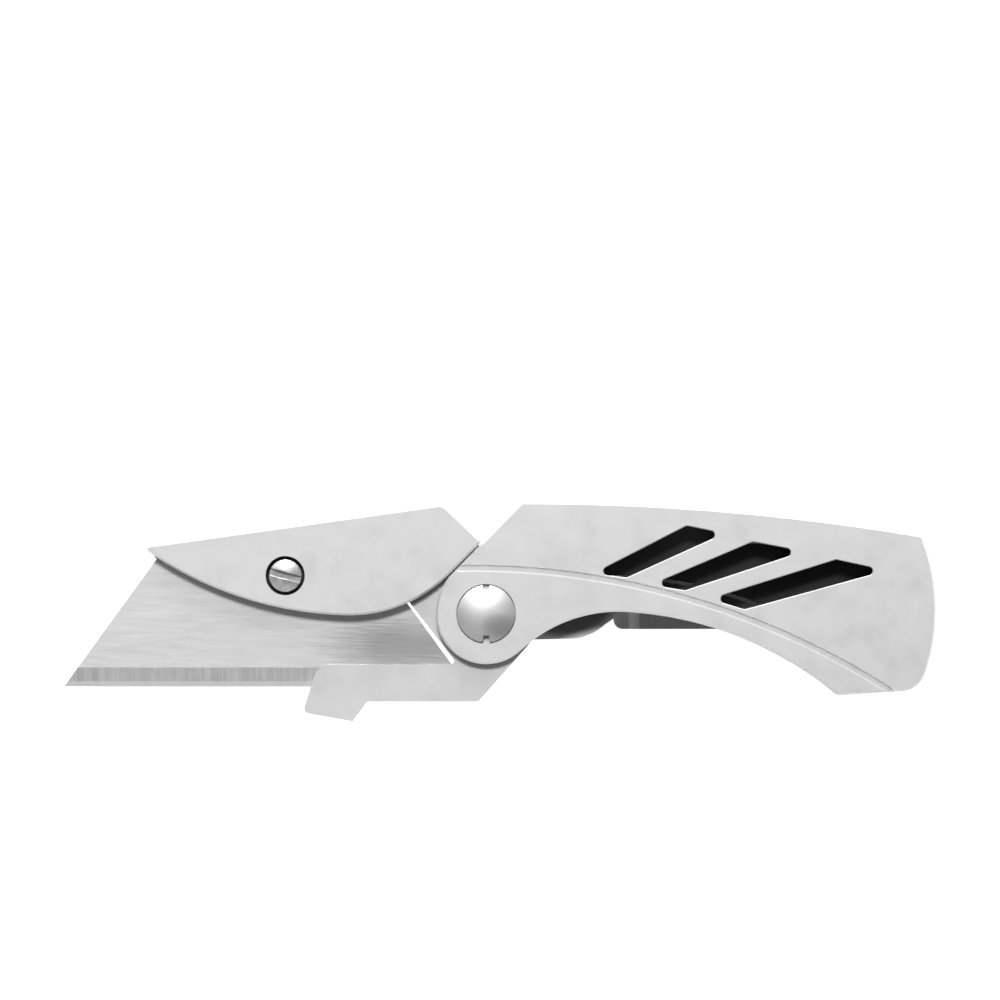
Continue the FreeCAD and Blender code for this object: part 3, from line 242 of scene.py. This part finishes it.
@dataclass(frozen=True)
class SteelFinish:
    """Worked steel or bronze: broad clouds of tone, a fine grain, and paler rubbed edges."""

    name: str
    tint: Colour
    grain: Grain
    metallic: float = 0.85
    roughness: float = 0.42
    cloud_mm: float = 14.0
    cloud: float = 0.05
    streak: float = 0.06
    relief: float = 0.12
    relief_mm: float = 0.01
    turn: float = 0.0
    rubbed: float = 0.12
    # inner_shade, inner_above and inner_fade paint shade on faces that look up, above a Y level.
    inner_shade: float = 1.0
    inner_above: float = -100.0
    inner_fade: float = 0.8
    # places of painted shade, each darkening its own ellipse
    shade_spots: tuple[ShadeSpot, ...] = ()
    # a band of painted highlight across X: where, how wide and how bright
    highlight_at: float = 0.0
    highlight_width: float = 0.7
    highlight_gain: float = 0.0

    def make(self) -> bpy.types.Material:
        """Build the material.

        Tone is the tint, times broad clouds, times the grain, and lighter on
        slanted edge breaks. Faces that look up get painted shade by inner_shade
        above the height inner_above. A band of painted highlight crosses the piece
        at one X, and each spot of painted shade darkens its own place.

        Returns:
            The finished material.
        """
        r = Recipe(self.name)
        where = r.place()
        broad = r.noise(r.stretch(where, (self.cloud_mm,) * 3), 2.0)
        fine = r.noise(r.stretch(where, self.grain.value, self.turn), 4.0, 0.6)
        facing = r.facing()
        slant = r.math("MULTIPLY", r.remap(r.math("ABSOLUTE", facing), 0.25, 0.5, 0.0, 1.0, True),
                       r.remap(r.math("ABSOLUTE", facing), 0.9, 0.985, 1.0, 0.0, True))
        tone = r.math("MULTIPLY", r.remap(broad, 0.3, 0.7, 1 - self.cloud, 1 + self.cloud),
                      r.remap(fine, 0.25, 0.75, 1 - self.streak, 1 + self.streak))
        tone = r.math("MULTIPLY", tone, r.remap(slant, 0.0, 1.0, 1.0, 1.0 + self.rubbed))
        parts = r.add("ShaderNodeSeparateXYZ", {0: where})
        # Painted shade on faces that look up, above a Y level.
        if self.inner_shade < 1.0:
            upper = r.remap(parts.outputs["Y"], (self.inner_above - self.inner_fade) * MM,
                            self.inner_above * MM, 0.0, 1.0, True)
            inside = r.math("MULTIPLY", r.remap(facing, 0.3, 0.6, 0.0, 1.0, True), upper)
            tone = r.math("MULTIPLY", tone, r.remap(inside, 0.0, 1.0, 1.0, self.inner_shade))
        # A band of painted highlight across X.
        if self.highlight_gain > 0.0:
            off = r.math("ABSOLUTE", r.math("SUBTRACT", parts.outputs["X"], self.highlight_at * MM))
            tone = r.math("MULTIPLY", tone, r.remap(off, 0.0, self.highlight_width * MM,
                                                    1.0 + self.highlight_gain, 1.0, True))
        # Each spot of painted shade darkens its own place.
        for spot in self.shade_spots:
            tone = r.math("MULTIPLY", tone, self.spot_darkness(r, parts, spot))
        double = scaled(self.tint, 2.0)
        colour = r.mix(r.remap(tone, 0.0, 2.0, 0.0, 1.0), BLACK, double)
        wear = r.noise(r.stretch(where, (5.0, 5.0, 5.0)), 5.0, 0.65)
        rough = r.math("ADD", r.remap(wear, 0.3, 0.7, self.roughness * 0.86,
                                      self.roughness * 1.14),
                       r.remap(slant, 0.0, 1.0, 0.0, -0.3 * self.roughness))
        surface = {"Base Color": colour, "Roughness": rough, "Metallic": self.metallic}
        return r.finish(surface, fine, self.relief, self.relief_mm)

    def spot_darkness(self, r: Recipe, parts: bpy.types.Node, spot: ShadeSpot) -> bpy.types.NodeSocket:
        """Work out how dark one place of painted shade is.

        Args:
            r: the recipe being written.
            parts: the node that gives X, Y and Z.
            spot: the place of painted shade.

        Returns:
            1 outside the place, falling to its tone inside the ellipse and below its level.
        """
        spread = r.oval(parts, spot.centre, spot.reach)
        near = r.remap(spread, 1 - spot.soft, 1 + spot.soft, 1.0, 0.0, True)
        deep = r.remap(parts.outputs["Z"], (spot.below - spot.depth) * MM, spot.below * MM,
                       1.0, 0.0)
        return r.remap(r.math("MULTIPLY", near, deep), 0.0, 1.0, 1.0, spot.tone)


@dataclass(frozen=True)
class BladeFinish:
    """Blade stock: brushed along its length, cross-ground bevel and a bright honed edge."""

    name: str
    edge_y: float
    bevel_height: float = 2.9
    honed_height: float = 0.8
    body_tint: Colour = grey(0.55)
    bevel_tint: Colour = grey(0.515)
    honed_tint: Colour = grey(0.63)
    # A dark patch of painted shade near the heel: its tint, centre and reach.
    heel_shade_tint: Colour = grey(0.30)
    heel_shade_centre: tuple[float, float] = (-14.5, -5.2)
    heel_shade_reach: tuple[float, float] = (13.5, 5.2)
    metallic: float = 0.6

    def make(self) -> bpy.types.Material:
        """Build the material.

        Zones are told apart by height over the edge. A dark patch of painted
        shade near the heel fades out as an ellipse, is broken up by the brushing
        and is a little less rough.

        Returns:
            The finished material.
        """
        r = Recipe(self.name)
        where = r.place()
        along = r.noise(r.stretch(where, (4.0, 0.09, 0.09), 1.5), 5.0, 0.62)
        broad = r.noise(r.stretch(where, (9.0, 1.3, 5.0)), 3.0)
        across = r.noise(r.stretch(where, (0.16, 6.0, 6.0)), 3.0, 0.7)
        wide = r.noise(r.stretch(where, (1.4, 9.0, 9.0)), 1.0)
        parts = r.add("ShaderNodeSeparateXYZ", {0: where})
        height = r.math("SUBTRACT", parts.outputs["Y"], self.edge_y)
        body_zone = self.over(r, height, self.bevel_height, 0.03)
        bevel_zone = self.over(r, height, self.honed_height, 0.04)
        # Painted shade: a dark patch near the heel.
        spread = r.math("SQRT", r.oval(parts, self.heel_shade_centre, self.heel_shade_reach))
        heel_dark = r.remap(r.math("ADD", spread, r.remap(along, 0.3, 0.7, -0.22, 0.22)),
                        0.2, 1.15, 0.85, 0.0, True)
        brushed = self.blend(r, along, broad, 0.65)
        body = r.mix(r.remap(brushed, 0.34, 0.66, 0.0, 1.0),
                     scaled(self.body_tint, 0.91), scaled(self.body_tint, 1.09))
        body = r.mix(heel_dark, body, self.heel_shade_tint)
        marks = self.blend(r, across, wide, 0.6)
        bevel = r.mix(r.remap(marks, 0.33, 0.67, 0.0, 1.0),
                      scaled(self.bevel_tint, 0.8), scaled(self.bevel_tint, 1.22))
        honed = r.mix(r.remap(across, 0.3, 0.7, 0.0, 1.0),
                      scaled(self.honed_tint, 0.93), scaled(self.honed_tint, 1.05))
        colour = r.mix(body_zone, r.mix(bevel_zone, honed, bevel), body)
        rough = r.math("ADD", r.remap(along, 0.3, 0.7, 0.36, 0.46),
                       r.remap(heel_dark, 0.0, 1.0, 0.0, -0.05))
        ground = r.math("MULTIPLY", across, r.math("SUBTRACT", 1.0, body_zone))
        relief = r.math("ADD", r.math("MULTIPLY", along, body_zone), ground)
        surface = {"Base Color": colour, "Roughness": rough, "Metallic": self.metallic}
        return r.finish(surface, relief, 0.16, 0.01)

    @staticmethod
    def over(r: Recipe, height: Any, level: float, fade: float) -> bpy.types.NodeSocket:
        """Return 0 under a level in mm and 1 over it, with a short fade to each side."""
        return r.remap(height, (level - fade) * MM, (level + fade) * MM, 0.0, 1.0)

    @staticmethod
    def blend(r: Recipe, first: Any, second: Any, share: float) -> bpy.types.NodeSocket:
        """Return share of the first value plus the rest of the second."""
        return r.math("ADD", r.math("MULTIPLY", first, share),
                      r.math("MULTIPLY", second, 1.0 - share))


@dataclass(frozen=True)
class PaperFinish:
    """Glowing matt table that the knife lies on, sheer from below to show the knife's back."""

    name: str = "table_paper"
    tint: Colour = grey(0.9)
    glow: float = 0.8

    def make(self) -> bpy.types.Material:
        """Build the material: matt, faintly fibrous, and lit a little from within."""
        r = Recipe(self.name)
        where = r.place()
        fibre = r.noise(r.stretch(where, (1.2, 1.2, 1.2)), 4.0)
        colour = r.mix(fibre, scaled(self.tint, 0.99), self.tint)
        surface = {"Base Color": colour, "Roughness": 0.9,
                   "Emission Color": WHITE, "Emission Strength": self.glow}
        material = r.finish(surface, fibre, 0.02, 0.01)
        out = r.tree.nodes[-1]
        seen = out.inputs["Surface"].links[0].from_socket
        back = r.add("ShaderNodeNewGeometry").outputs["Backfacing"]
        clear = r.add("ShaderNodeBsdfTransparent").outputs[0]
        sheer = r.add("ShaderNodeMixShader", {0: back, 1: seen, 2: clear})
        r.tree.links.new(sheer.outputs[0], out.inputs["Surface"])
        return material


# Painted shade and a painted reflection, from the front. Levels count from the table.
# Painted shade on the walls of the three slots, below the scale's face.
SLOT_SHADE = ShadeSpot((34.0, 6.7), (23.0, 6.1), 9.40, 0.12, 0.06)
# Painted shade in the recess round the clamp screw.
CLAMP_SHADE = ShadeSpot((-32.34, 5.47), (3.1, 3.1), 9.62, 0.12, 0.03)
# Painted shadow of the front scale on the lock bar's tab.
TAB_SHADE = ShadeSpot((9.5, 2.2), (8.5, 5.9), 20.0, 0.1, 0.22, 0.25)
# Painted dark reflection on the lower right of the pivot dome.
DOME_SHADE = ShadeSpot((0.0, -2.1), (2.3, 1.6), 20.0, tone=0.70, soft=0.95)

SATIN_SCALE = SteelFinish(
    "satin_scale", grey(0.535), Grain.BLASTED, metallic=0.55, roughness=0.46, cloud=0.012,
    streak=0.03, relief=0.10, relief_mm=0.006, rubbed=0.35, shade_spots=(SLOT_SHADE,))
# The cover's recess round the clamp screw carries painted shade.
SATIN_COVER = replace(SATIN_SCALE, name="satin_cover", tint=grey(0.54), shade_spots=(CLAMP_SHADE,))
SATIN_CARRIER = replace(SATIN_SCALE, name="satin_carrier", tint=grey(0.60), cloud=0.02,
                        streak=0.035, shade_spots=())
# The rear frame's inside faces are nearly black: painted shade, so the slots read dark.
SATIN_FRAME = SteelFinish(
    "satin_frame", grey(0.58), Grain.BLASTED, metallic=0.6, roughness=0.46, cloud=0.03,
    streak=0.04, relief=0.12, relief_mm=0.006, rubbed=0.25, inner_shade=0.03)
# The lock bar's inside faces above Y 0.6 are nearly black (painted shade), and its tab carries a
# painted shadow.
LOCK_STEEL = SteelFinish(
    "lock_steel", grey(0.60), Grain.BLASTED, metallic=0.6, roughness=0.42, cloud=0.03,
    streak=0.04, relief=0.10, relief_mm=0.006, rubbed=0.3, inner_shade=0.05,
    inner_above=0.6, shade_spots=(TAB_SHADE,))
# The spacer's dark tint stands for the shade inside the handle, seen through the slots: painted
# shade.
SPACER_STEEL = SteelFinish(
    "spacer_steel", grey(0.36), Grain.BRUSHED_ALONG, metallic=0.7, roughness=0.4,
    cloud=0.04, streak=0.10, relief=0.15)
# The clip's dark tint is partly painted shade, for the shade it lies in under the handle; its pale
# band at X 20.5 is a painted highlight on the bend.
CLIP_STEEL = SteelFinish(
    "clip_steel", (0.34, 0.34, 0.345), Grain.BRUSHED_ALONG, metallic=0.8, roughness=0.36,
    cloud=0.05, streak=0.20, relief=0.22, rubbed=0.3, highlight_at=20.5, highlight_width=1.1, highlight_gain=1.7)
POLISHED_STEEL = SteelFinish(
    "polished_steel", grey(0.72), Grain.BUFFED, metallic=0.7, roughness=0.30, cloud_mm=6.0,
    cloud=0.02, streak=0.02, relief=0.025, relief_mm=0.004, rubbed=0.0)
# The pivot dome carries a painted dark reflection at its lower right.
DOME_STEEL = SteelFinish(
    "dome_steel", grey(0.78), Grain.BUFFED, metallic=0.62, roughness=0.40, cloud_mm=6.0,
    cloud=0.02, streak=0.02, relief=0.02, relief_mm=0.003, rubbed=0.0, shade_spots=(DOME_SHADE,))
MIRROR_STEEL = SteelFinish(
    "mirror_steel", grey(0.88), Grain.RIPPLED, metallic=0.55, roughness=0.24, cloud_mm=1.0,
    cloud=0.22, streak=0.16, relief=0.55, relief_mm=0.06, rubbed=0.0, turn=15.0)
SCREW_STEEL = SteelFinish(
    "screw_steel", (0.22, 0.22, 0.23), Grain.TUMBLED, metallic=0.8, roughness=0.36,
    cloud=0.05, streak=0.08, relief=0.10, rubbed=0.4)
WASHER_BRONZE = SteelFinish(
    "washer_bronze", (0.62, 0.43, 0.22), Grain.TUMBLED, metallic=0.9, roughness=0.4,
    cloud=0.08, streak=0.08, relief=0.12)


# --------------------------------------------------------------- mesh building


@dataclass
class Skin:
    """Gathers numpy sheets of points and welds them into one closed piece."""

    name: str
    points: list[np.ndarray] = field(default_factory=list)
    faces: list[np.ndarray] = field(default_factory=list)
    count: int = 0

    def sheet(self, grid: np.ndarray) -> None:
        """Add a sheet given as rows x columns x 3 points, in metres.

        Each face joins the points (i, j), (i, j+1), (i+1, j+1) and (i+1, j).

        Args:
            grid: the sheet's points.
        """
        rows, columns = grid.shape[:2]
        number = np.arange(rows * columns).reshape(rows, columns) + self.count
        quads = np.stack([number[:-1, :-1], number[:-1, 1:], number[1:, 1:], number[1:, :-1]],
                         axis=-1)
        self.points.append(grid.reshape(-1, 3))
        self.faces.append(quads.reshape(-1, 4))
        self.count += rows * columns

    def make(self, sharp: float = 32.0) -> bpy.types.Object:
        """Weld the sheets, close seams and poles, and turn every face outwards.

        Args:
            sharp: edges steeper than this many degrees stay crisp.

        Returns:
            The new piece, at the origin.
        """
        mesh = bpy.data.meshes.new(self.name)
        mesh.from_pydata(np.concatenate(self.points), [], np.concatenate(self.faces))
        work = bmesh.new()
        work.from_mesh(mesh)
        bmesh.ops.remove_doubles(work, verts=work.verts, dist=WELD)
        bmesh.ops.dissolve_degenerate(work, edges=work.edges, dist=WELD / 2)
        bmesh.ops.recalc_face_normals(work, faces=work.faces)
        work.to_mesh(mesh)
        work.free()
        mesh.shade_smooth()
        mesh.set_sharp_from_angle(angle=math.radians(sharp))
        piece = bpy.data.objects.new(self.name, mesh)
        bpy.context.scene.collection.objects.link(piece)
        return piece


def around(steps: int, dense: Sequence[float] = (), width: float = 10.0,
           extra: int = 24) -> np.ndarray:
    """Angles of a full turn, closed, with more of them near some directions.

    Args:
        steps: evenly spaced angles.
        dense: directions in degrees that get more angles.
        width: degrees to each side of those directions.
        extra: how many more angles each of them gets.

    Returns:
        Rising angles in radians whose last is the first plus one turn.
    """
    parts = [np.linspace(0.0, 360.0, steps, endpoint=False)]
    parts += [np.linspace(d - width, d + width, extra) % 360.0 for d in dense]
    angles = np.unique(np.round(np.concatenate(parts), 4))
    return np.radians(np.append(angles, angles[0] + 360.0))


def dome_height(r: np.ndarray, rim: float, rise: float) -> np.ndarray:
    """Height over the rim of a round cap: the sphere through its crown and rim."""
    ball = (rim**2 + rise**2) / (2 * rise)
    return np.sqrt(np.maximum(ball**2 - r**2, 0.0)) - (ball - rise)


def turn_round(radii: np.ndarray, levels: np.ndarray, angle: np.ndarray,
               middle: Vector) -> np.ndarray:
    """Points at radii round a middle, for rings given as rows.

    Args:
        radii: radius of each point, rows x angles, in mm.
        levels: height of each point, in mm.
        angle: the angles, in radians.
        middle: the axis, in mm.

    Returns:
        Points in metres: middle plus radius times cosine and sine.
    """
    x = middle.x + radii * np.cos(angle)
    y = middle.y + radii * np.sin(angle)
    return np.stack([x, y, levels], axis=-1) * MM


def level_of(node: str) -> tuple[Vector, float, float, float]:
    """Middle, outer radius, lowest and highest level of a round CAD node, in mm."""
    low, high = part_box(node)
    middle = (low + high) / 2 / MM
    return middle, (high.x - low.x) / 2 / MM, low.z / MM, high.z / MM


# ---------------------------------------------------------------------- screws


@dataclass
class PivotScrew:
    """Domed pivot screw with two flared spanner notches. Sizes in mm.

    A notch is given by its half widths and how far from the axis each of them
    lies. The upper notch is shallower by upper_shift.
    """

    side: float = 0.78
    rise: float = 0.70
    shank: float = 1.5
    edge: float = 0.10
    foot: float = 0.05
    notch_width: tuple[float, ...] = (0.0, 0.44, 0.48, 0.54, 0.84)
    notch_reach: tuple[float, ...] = (3.28, 3.28, 3.75, 4.12, 4.37)
    upper_shift: float = 0.45

    def rim(self, angle: np.ndarray, radius: float) -> np.ndarray:
        """Radius of the head's rim at each angle.

        It is the head's radius, but within each notch it follows the notch's
        outline: flared at the rim, then two walls and a straight floor.
        """
        off = np.abs(90.0 - np.abs((np.degrees(angle) + 180.0) % 360.0 - 180.0))
        width, reach = np.array(self.notch_width), np.array(self.notch_reach)
        outlines = []
        for shift in (0.0, self.upper_shift):
            far = np.minimum(reach + shift, radius)
            at = np.degrees(np.arctan2(width, np.sqrt(np.maximum(far**2 - width**2, 0.0))))
            outlines.append(np.interp(off, at, far, right=radius))
        return np.where(np.sin(angle) > 0, outlines[1], outlines[0])

    def build(self) -> bpy.types.Object:
        """Carry the head's profile round its axis.

        A point of the dome is at share t of the rim's radius at its angle, at
        the height of the ball there. Then come the rounded lip, the side, the
        underside and the shank.
        """
        middle, radius, low, high = level_of("pivot_screw")
        angle = around(240, (90.0, 270.0), 16.0, 90)
        rim = self.rim(angle, radius)
        lip = high - self.rise
        rings: list[tuple[np.ndarray, np.ndarray]] = []
        for t in np.concatenate([np.linspace(0.0, 0.7, 14), np.linspace(0.74, 1.0, 14)]):
            r = t * (rim - self.edge)
            rings.append((r, lip + dome_height(r, radius, self.rise)))
        crest = rings[-1][1]
        for a in np.linspace(0.0, math.pi / 2, 7)[1:]:
            rings.append((rim - self.edge + self.edge * math.sin(a),
                          crest - self.edge + self.edge * math.cos(a)))
        bottom = lip - self.side
        flat = np.ones_like(rim)
        rings += [(rim, flat * (bottom + self.foot)), (rim - self.foot, flat * bottom),
                  (flat * self.shank, flat * bottom), (flat * self.shank, flat * low),
                  (flat * 0.0, flat * low)]
        radii, levels = (np.array(column) for column in zip(*rings))
        skin = Skin("pivot_cap")
        skin.sheet(turn_round(radii, levels, angle, middle))
        piece = skin.make()
        piece.data.materials.append(DOME_STEEL.make())
        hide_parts("pivot_screw")
        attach(piece, "handle")
        return piece


@dataclass
class ClampScrew:
    """Captive screw that holds the cover: a domed head with one wide slot. Sizes in mm."""

    side: float = 1.10
    rise: float = 0.40
    shank: float = 1.25
    slot_width: float = 1.0
    slot_depth: float = 0.75
    slot_angle: float = -15.0
    lip: float = 0.07
    edge: float = 0.06
    foot: float = 0.05
    tip: float = 0.2
    groove: float = 0.25
    groove_low: float = 0.08
    groove_high: float = 0.47

    def crown(self, span: float, radius: float, top: float) -> tuple[np.ndarray, ...]:
        """Lay chords over the head, along the slot.

        A point is at a distance across the slot and at a share of the chord
        there, as high as the ball, less a small sink at the slot's rounded lips.
        The slot's floor is flat, and its walls are two rows at one distance.

        Args:
            span: radius of the crown.
            radius: radius of the head.
            top: level of its highest point.

        Returns:
            X, Y and Z of the points from the screw's axis, in mm.
        """
        half = self.slot_width / 2
        bend = np.linspace(math.pi / 2, 0.0, 4)[1:]
        rest = (span - half - self.lip) * np.sin(np.linspace(0.0, math.pi / 2, 18))[1:]
        right = np.concatenate([[half], half + self.lip * (1 - np.sin(bend)),
                                half + self.lip + rest])
        drop = np.concatenate([[self.lip], self.lip * (1 - np.cos(bend)), np.zeros(len(rest))])
        inside = np.linspace(-half, half, 9)
        across = np.concatenate([-right[::-1], inside, right])
        sink = np.concatenate([drop[::-1], np.zeros(len(inside)), drop])
        in_slot = np.zeros(len(across), bool)
        in_slot[len(right):-len(right)] = True

        share = np.sin(np.linspace(-math.pi / 2, math.pi / 2, 49))
        w = np.repeat(across[:, None], len(share), axis=1)
        s = np.sqrt(np.maximum(span**2 - across**2, 0.0))[:, None] * share[None, :]
        ball = top - self.rise + dome_height(np.hypot(w, s), radius, self.rise)
        z = np.where(in_slot[:, None], top - self.slot_depth, ball - sink[:, None])
        turn = math.radians(self.slot_angle)
        return (s * math.cos(turn) - w * math.sin(turn),
                s * math.sin(turn) + w * math.cos(turn), z)

    def build(self, cover_level: float) -> bpy.types.Object:
        """Join the crown to rings round the axis for the side, the shank and its groove.

        Args:
            cover_level: level of the cover's back, in mm.
        """
        middle, radius, low, high = level_of("clamp_screw")
        span = radius - self.edge
        x, y, z = self.crown(span, radius, high)
        skin = Skin("clamp_cap")
        place = np.array([middle.x, middle.y, 0.0])
        skin.sheet((np.stack([x, y, z], axis=-1) + place) * MM)

        loop_x, loop_y, loop_z = (np.concatenate([c[:, -1], c[::-1, 0]]) for c in (x, y, z))
        angle = np.arctan2(loop_y, loop_x)
        under = high - self.rise - self.side
        waist = self.shank - self.groove
        top, bottom = cover_level + self.groove_high, cover_level + self.groove_low
        rings = [(span, loop_z), (radius, loop_z - self.edge), (radius, under + self.foot),
                 (radius - self.foot, under), (self.shank, under), (self.shank, top),
                 (waist, top), (waist, bottom), (self.shank, bottom),
                 (self.shank, low + self.tip), (self.shank - self.tip, low), (0.0, low)]
        radii = np.array([np.full_like(angle, ring[0]) for ring in rings])
        levels = np.array([np.zeros_like(angle) + ring[1] for ring in rings])
        grid = turn_round(radii, levels, angle, middle)
        grid[0] = (np.stack([loop_x, loop_y, loop_z], axis=-1) + place) * MM
        skin.sheet(grid)
        piece = skin.make()
        piece.data.materials.append(MIRROR_STEEL.make())
        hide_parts("clamp_screw")
        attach(piece, "screw")
        return piece


# -------------------------------------------------------------- sub-assemblies


@dataclass
class Assembly:
    """CAD nodes that keep their shape and take a finish."""

    title: str
    finishes: dict[str, SteelFinish]

    def dress(self) -> None:
        """Give each node its finish."""
        for node, finish in self.finishes.items():
            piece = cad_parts[node]
            piece.data.materials.clear()
            piece.data.materials.append(finish.make())
            LOG.info("%s: %s takes %s", self.title, node, finish.name)


@dataclass
class Blade:
    """Trapezoid blade in the carrier."""

    node: str = "utility_blade"

    def dress(self) -> None:
        """Finish the blade, with its zones measured from the cutting edge."""
        low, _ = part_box(self.node)
        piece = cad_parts[self.node]
        piece.data.materials.clear()
        piece.data.materials.append(BladeFinish("blade_steel_ground", edge_y=low.y).make())
        LOG.info("blade: %s takes its ground finish", self.node)


# ----------------------------------------------------------------------- stage


@dataclass
class Softbox:
    """A flat lamp aimed at the knife. Angles in degrees, lengths in metres."""

    name: str
    lean: float
    bearing: float
    size: tuple[float, float]
    radiance: float
    distance: float

    def build(self, target: Vector) -> None:
        """Hang the lamp.

        It stands at distance from the target, leaning from straight above
        towards bearing, which is counted from X. Its power is the radiance
        times pi times its area.
        """
        lamp = bpy.data.lights.new(self.name, "AREA")
        lamp.shape = "RECTANGLE"
        lamp.size, lamp.size_y = self.size
        lamp.energy = self.radiance * math.pi * self.size[0] * self.size[1]
        stand = bpy.data.objects.new(self.name, lamp)
        lean, bearing = math.radians(self.lean), math.radians(self.bearing)
        way = Vector((math.sin(lean) * math.cos(bearing), math.sin(lean) * math.sin(bearing),
                      math.cos(lean)))
        stand.location = target + way * self.distance
        stand.rotation_mode = "QUATERNION"
        stand.rotation_quaternion = way.to_track_quat("Z", "Y")
        stand.visible_camera = False
        bpy.context.scene.collection.objects.link(stand)
        LOG.info("stage: lamp %s", self.name)


@dataclass
class Studio:
    """Table, lamps and camera. Lengths in metres."""

    target: Triple = (0.0001, 0.01689, 0.0098)
    view_width: float = 0.151
    lens: float = 200.0
    sensor: float = 36.0
    table_size: float = 12.0
    table_gap: float = 0.00002
    air: float = 0.17
    lamps: tuple[Softbox, ...] = (
        Softbox("key", 28.0, 96.0, (0.42, 0.34), 68.0, 1.9),
        Softbox("overhead", 33.0, 96.0, (2.6, 1.1), 1.0, 1.9),
        Softbox("back_wall", 70.0, 90.0, (3.0, 1.1), 4.8, 2.0),
        Softbox("front_fill", 40.0, -105.0, (2.2, 0.9), 0.45, 1.9),
    )

    def camera(self) -> None:
        """Stand the camera straight above the knife, with its width along X."""
        data = bpy.data.cameras.new("camera")
        data.lens, data.sensor_width = self.lens, self.sensor
        data.clip_start, data.clip_end = 0.01, 50.0
        camera = bpy.data.objects.new("camera", data)
        away = self.view_width * self.lens / self.sensor
        camera.location = Vector(self.target) + Vector((0.0, 0.0, away))
        bpy.context.scene.collection.objects.link(camera)
        bpy.context.scene.camera = camera

    def table(self) -> None:
        """Lay the table just under the pocket clip. It is a flat square grid."""
        low, _ = CAD_BOX
        line = np.linspace(-self.table_size / 2, self.table_size / 2, 5)
        x, y = np.meshgrid(line, line)
        skin = Skin("table")
        skin.sheet(np.stack([x, y, np.full_like(x, low.z - self.table_gap)], axis=-1))
        floor = skin.make()
        if floor.data.polygons[0].normal.z < 0:
            floor.data.flip_normals()
        floor.data.materials.append(PaperFinish().make())

    def world(self) -> None:
        """Fill the room with an even pale air."""
        world = bpy.data.worlds.new("studio_air")
        world.use_nodes = True
        nodes, links = world.node_tree.nodes, world.node_tree.links
        nodes.clear()
        seen = nodes.new("ShaderNodeBackground")
        seen.inputs["Color"].default_value = WHITE
        seen.inputs["Strength"].default_value = 1.0
        lit = nodes.new("ShaderNodeBackground")
        lit.inputs["Color"].default_value = WHITE
        lit.inputs["Strength"].default_value = self.air
        path = nodes.new("ShaderNodeLightPath")
        join = nodes.new("ShaderNodeMixShader")
        out = nodes.new("ShaderNodeOutputWorld")
        links.new(path.outputs["Is Camera Ray"], join.inputs[0])
        links.new(lit.outputs[0], join.inputs[1])
        links.new(seen.outputs[0], join.inputs[2])
        links.new(join.outputs[0], out.inputs["Surface"])
        bpy.context.scene.world = world

    def build(self) -> None:
        """Set up the whole studio."""
        self.camera()
        self.table()
        self.world()
        for lamp in self.lamps:
            lamp.build(Vector(self.target))
        bpy.context.scene.view_settings.view_transform = "Standard"


def main() -> None:
    """Build the studio, then each sub-assembly in order."""
    logging.basicConfig(level=logging.INFO, format="%(message)s")
    Studio().build()
    Assembly("handle", {
        "front_scale": SATIN_SCALE, "rear_frame": SATIN_FRAME, "spine_spacer": SPACER_STEEL,
        "pocket_clip": CLIP_STEEL, "clip_screws": SCREW_STEEL, "frame_screws": SCREW_STEEL,
        "pivot_barrel": POLISHED_STEEL, "stop_pin": POLISHED_STEEL,
        "front_washer": WASHER_BRONZE, "rear_washer": WASHER_BRONZE,
    }).dress()
    Assembly("lock", {"lock_bar": LOCK_STEEL, "detent_ball": POLISHED_STEEL}).dress()
    Assembly("carrier", {
        "carrier_frame": SATIN_CARRIER, "cover_dowels": POLISHED_STEEL, "clamp_nut": SCREW_STEEL,
    }).dress()
    Blade().dress()
    Assembly("cover", {"cover_plate": SATIN_COVER, "clamp_ring": SCREW_STEEL}).dress()
    for piece in (PivotScrew().build(), ClampScrew().build(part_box("cover_plate")[0].z / MM)):
        LOG.info("screws: %s, %d faces", piece.name, len(piece.data.polygons))


if __name__ == "__main__":
    main()
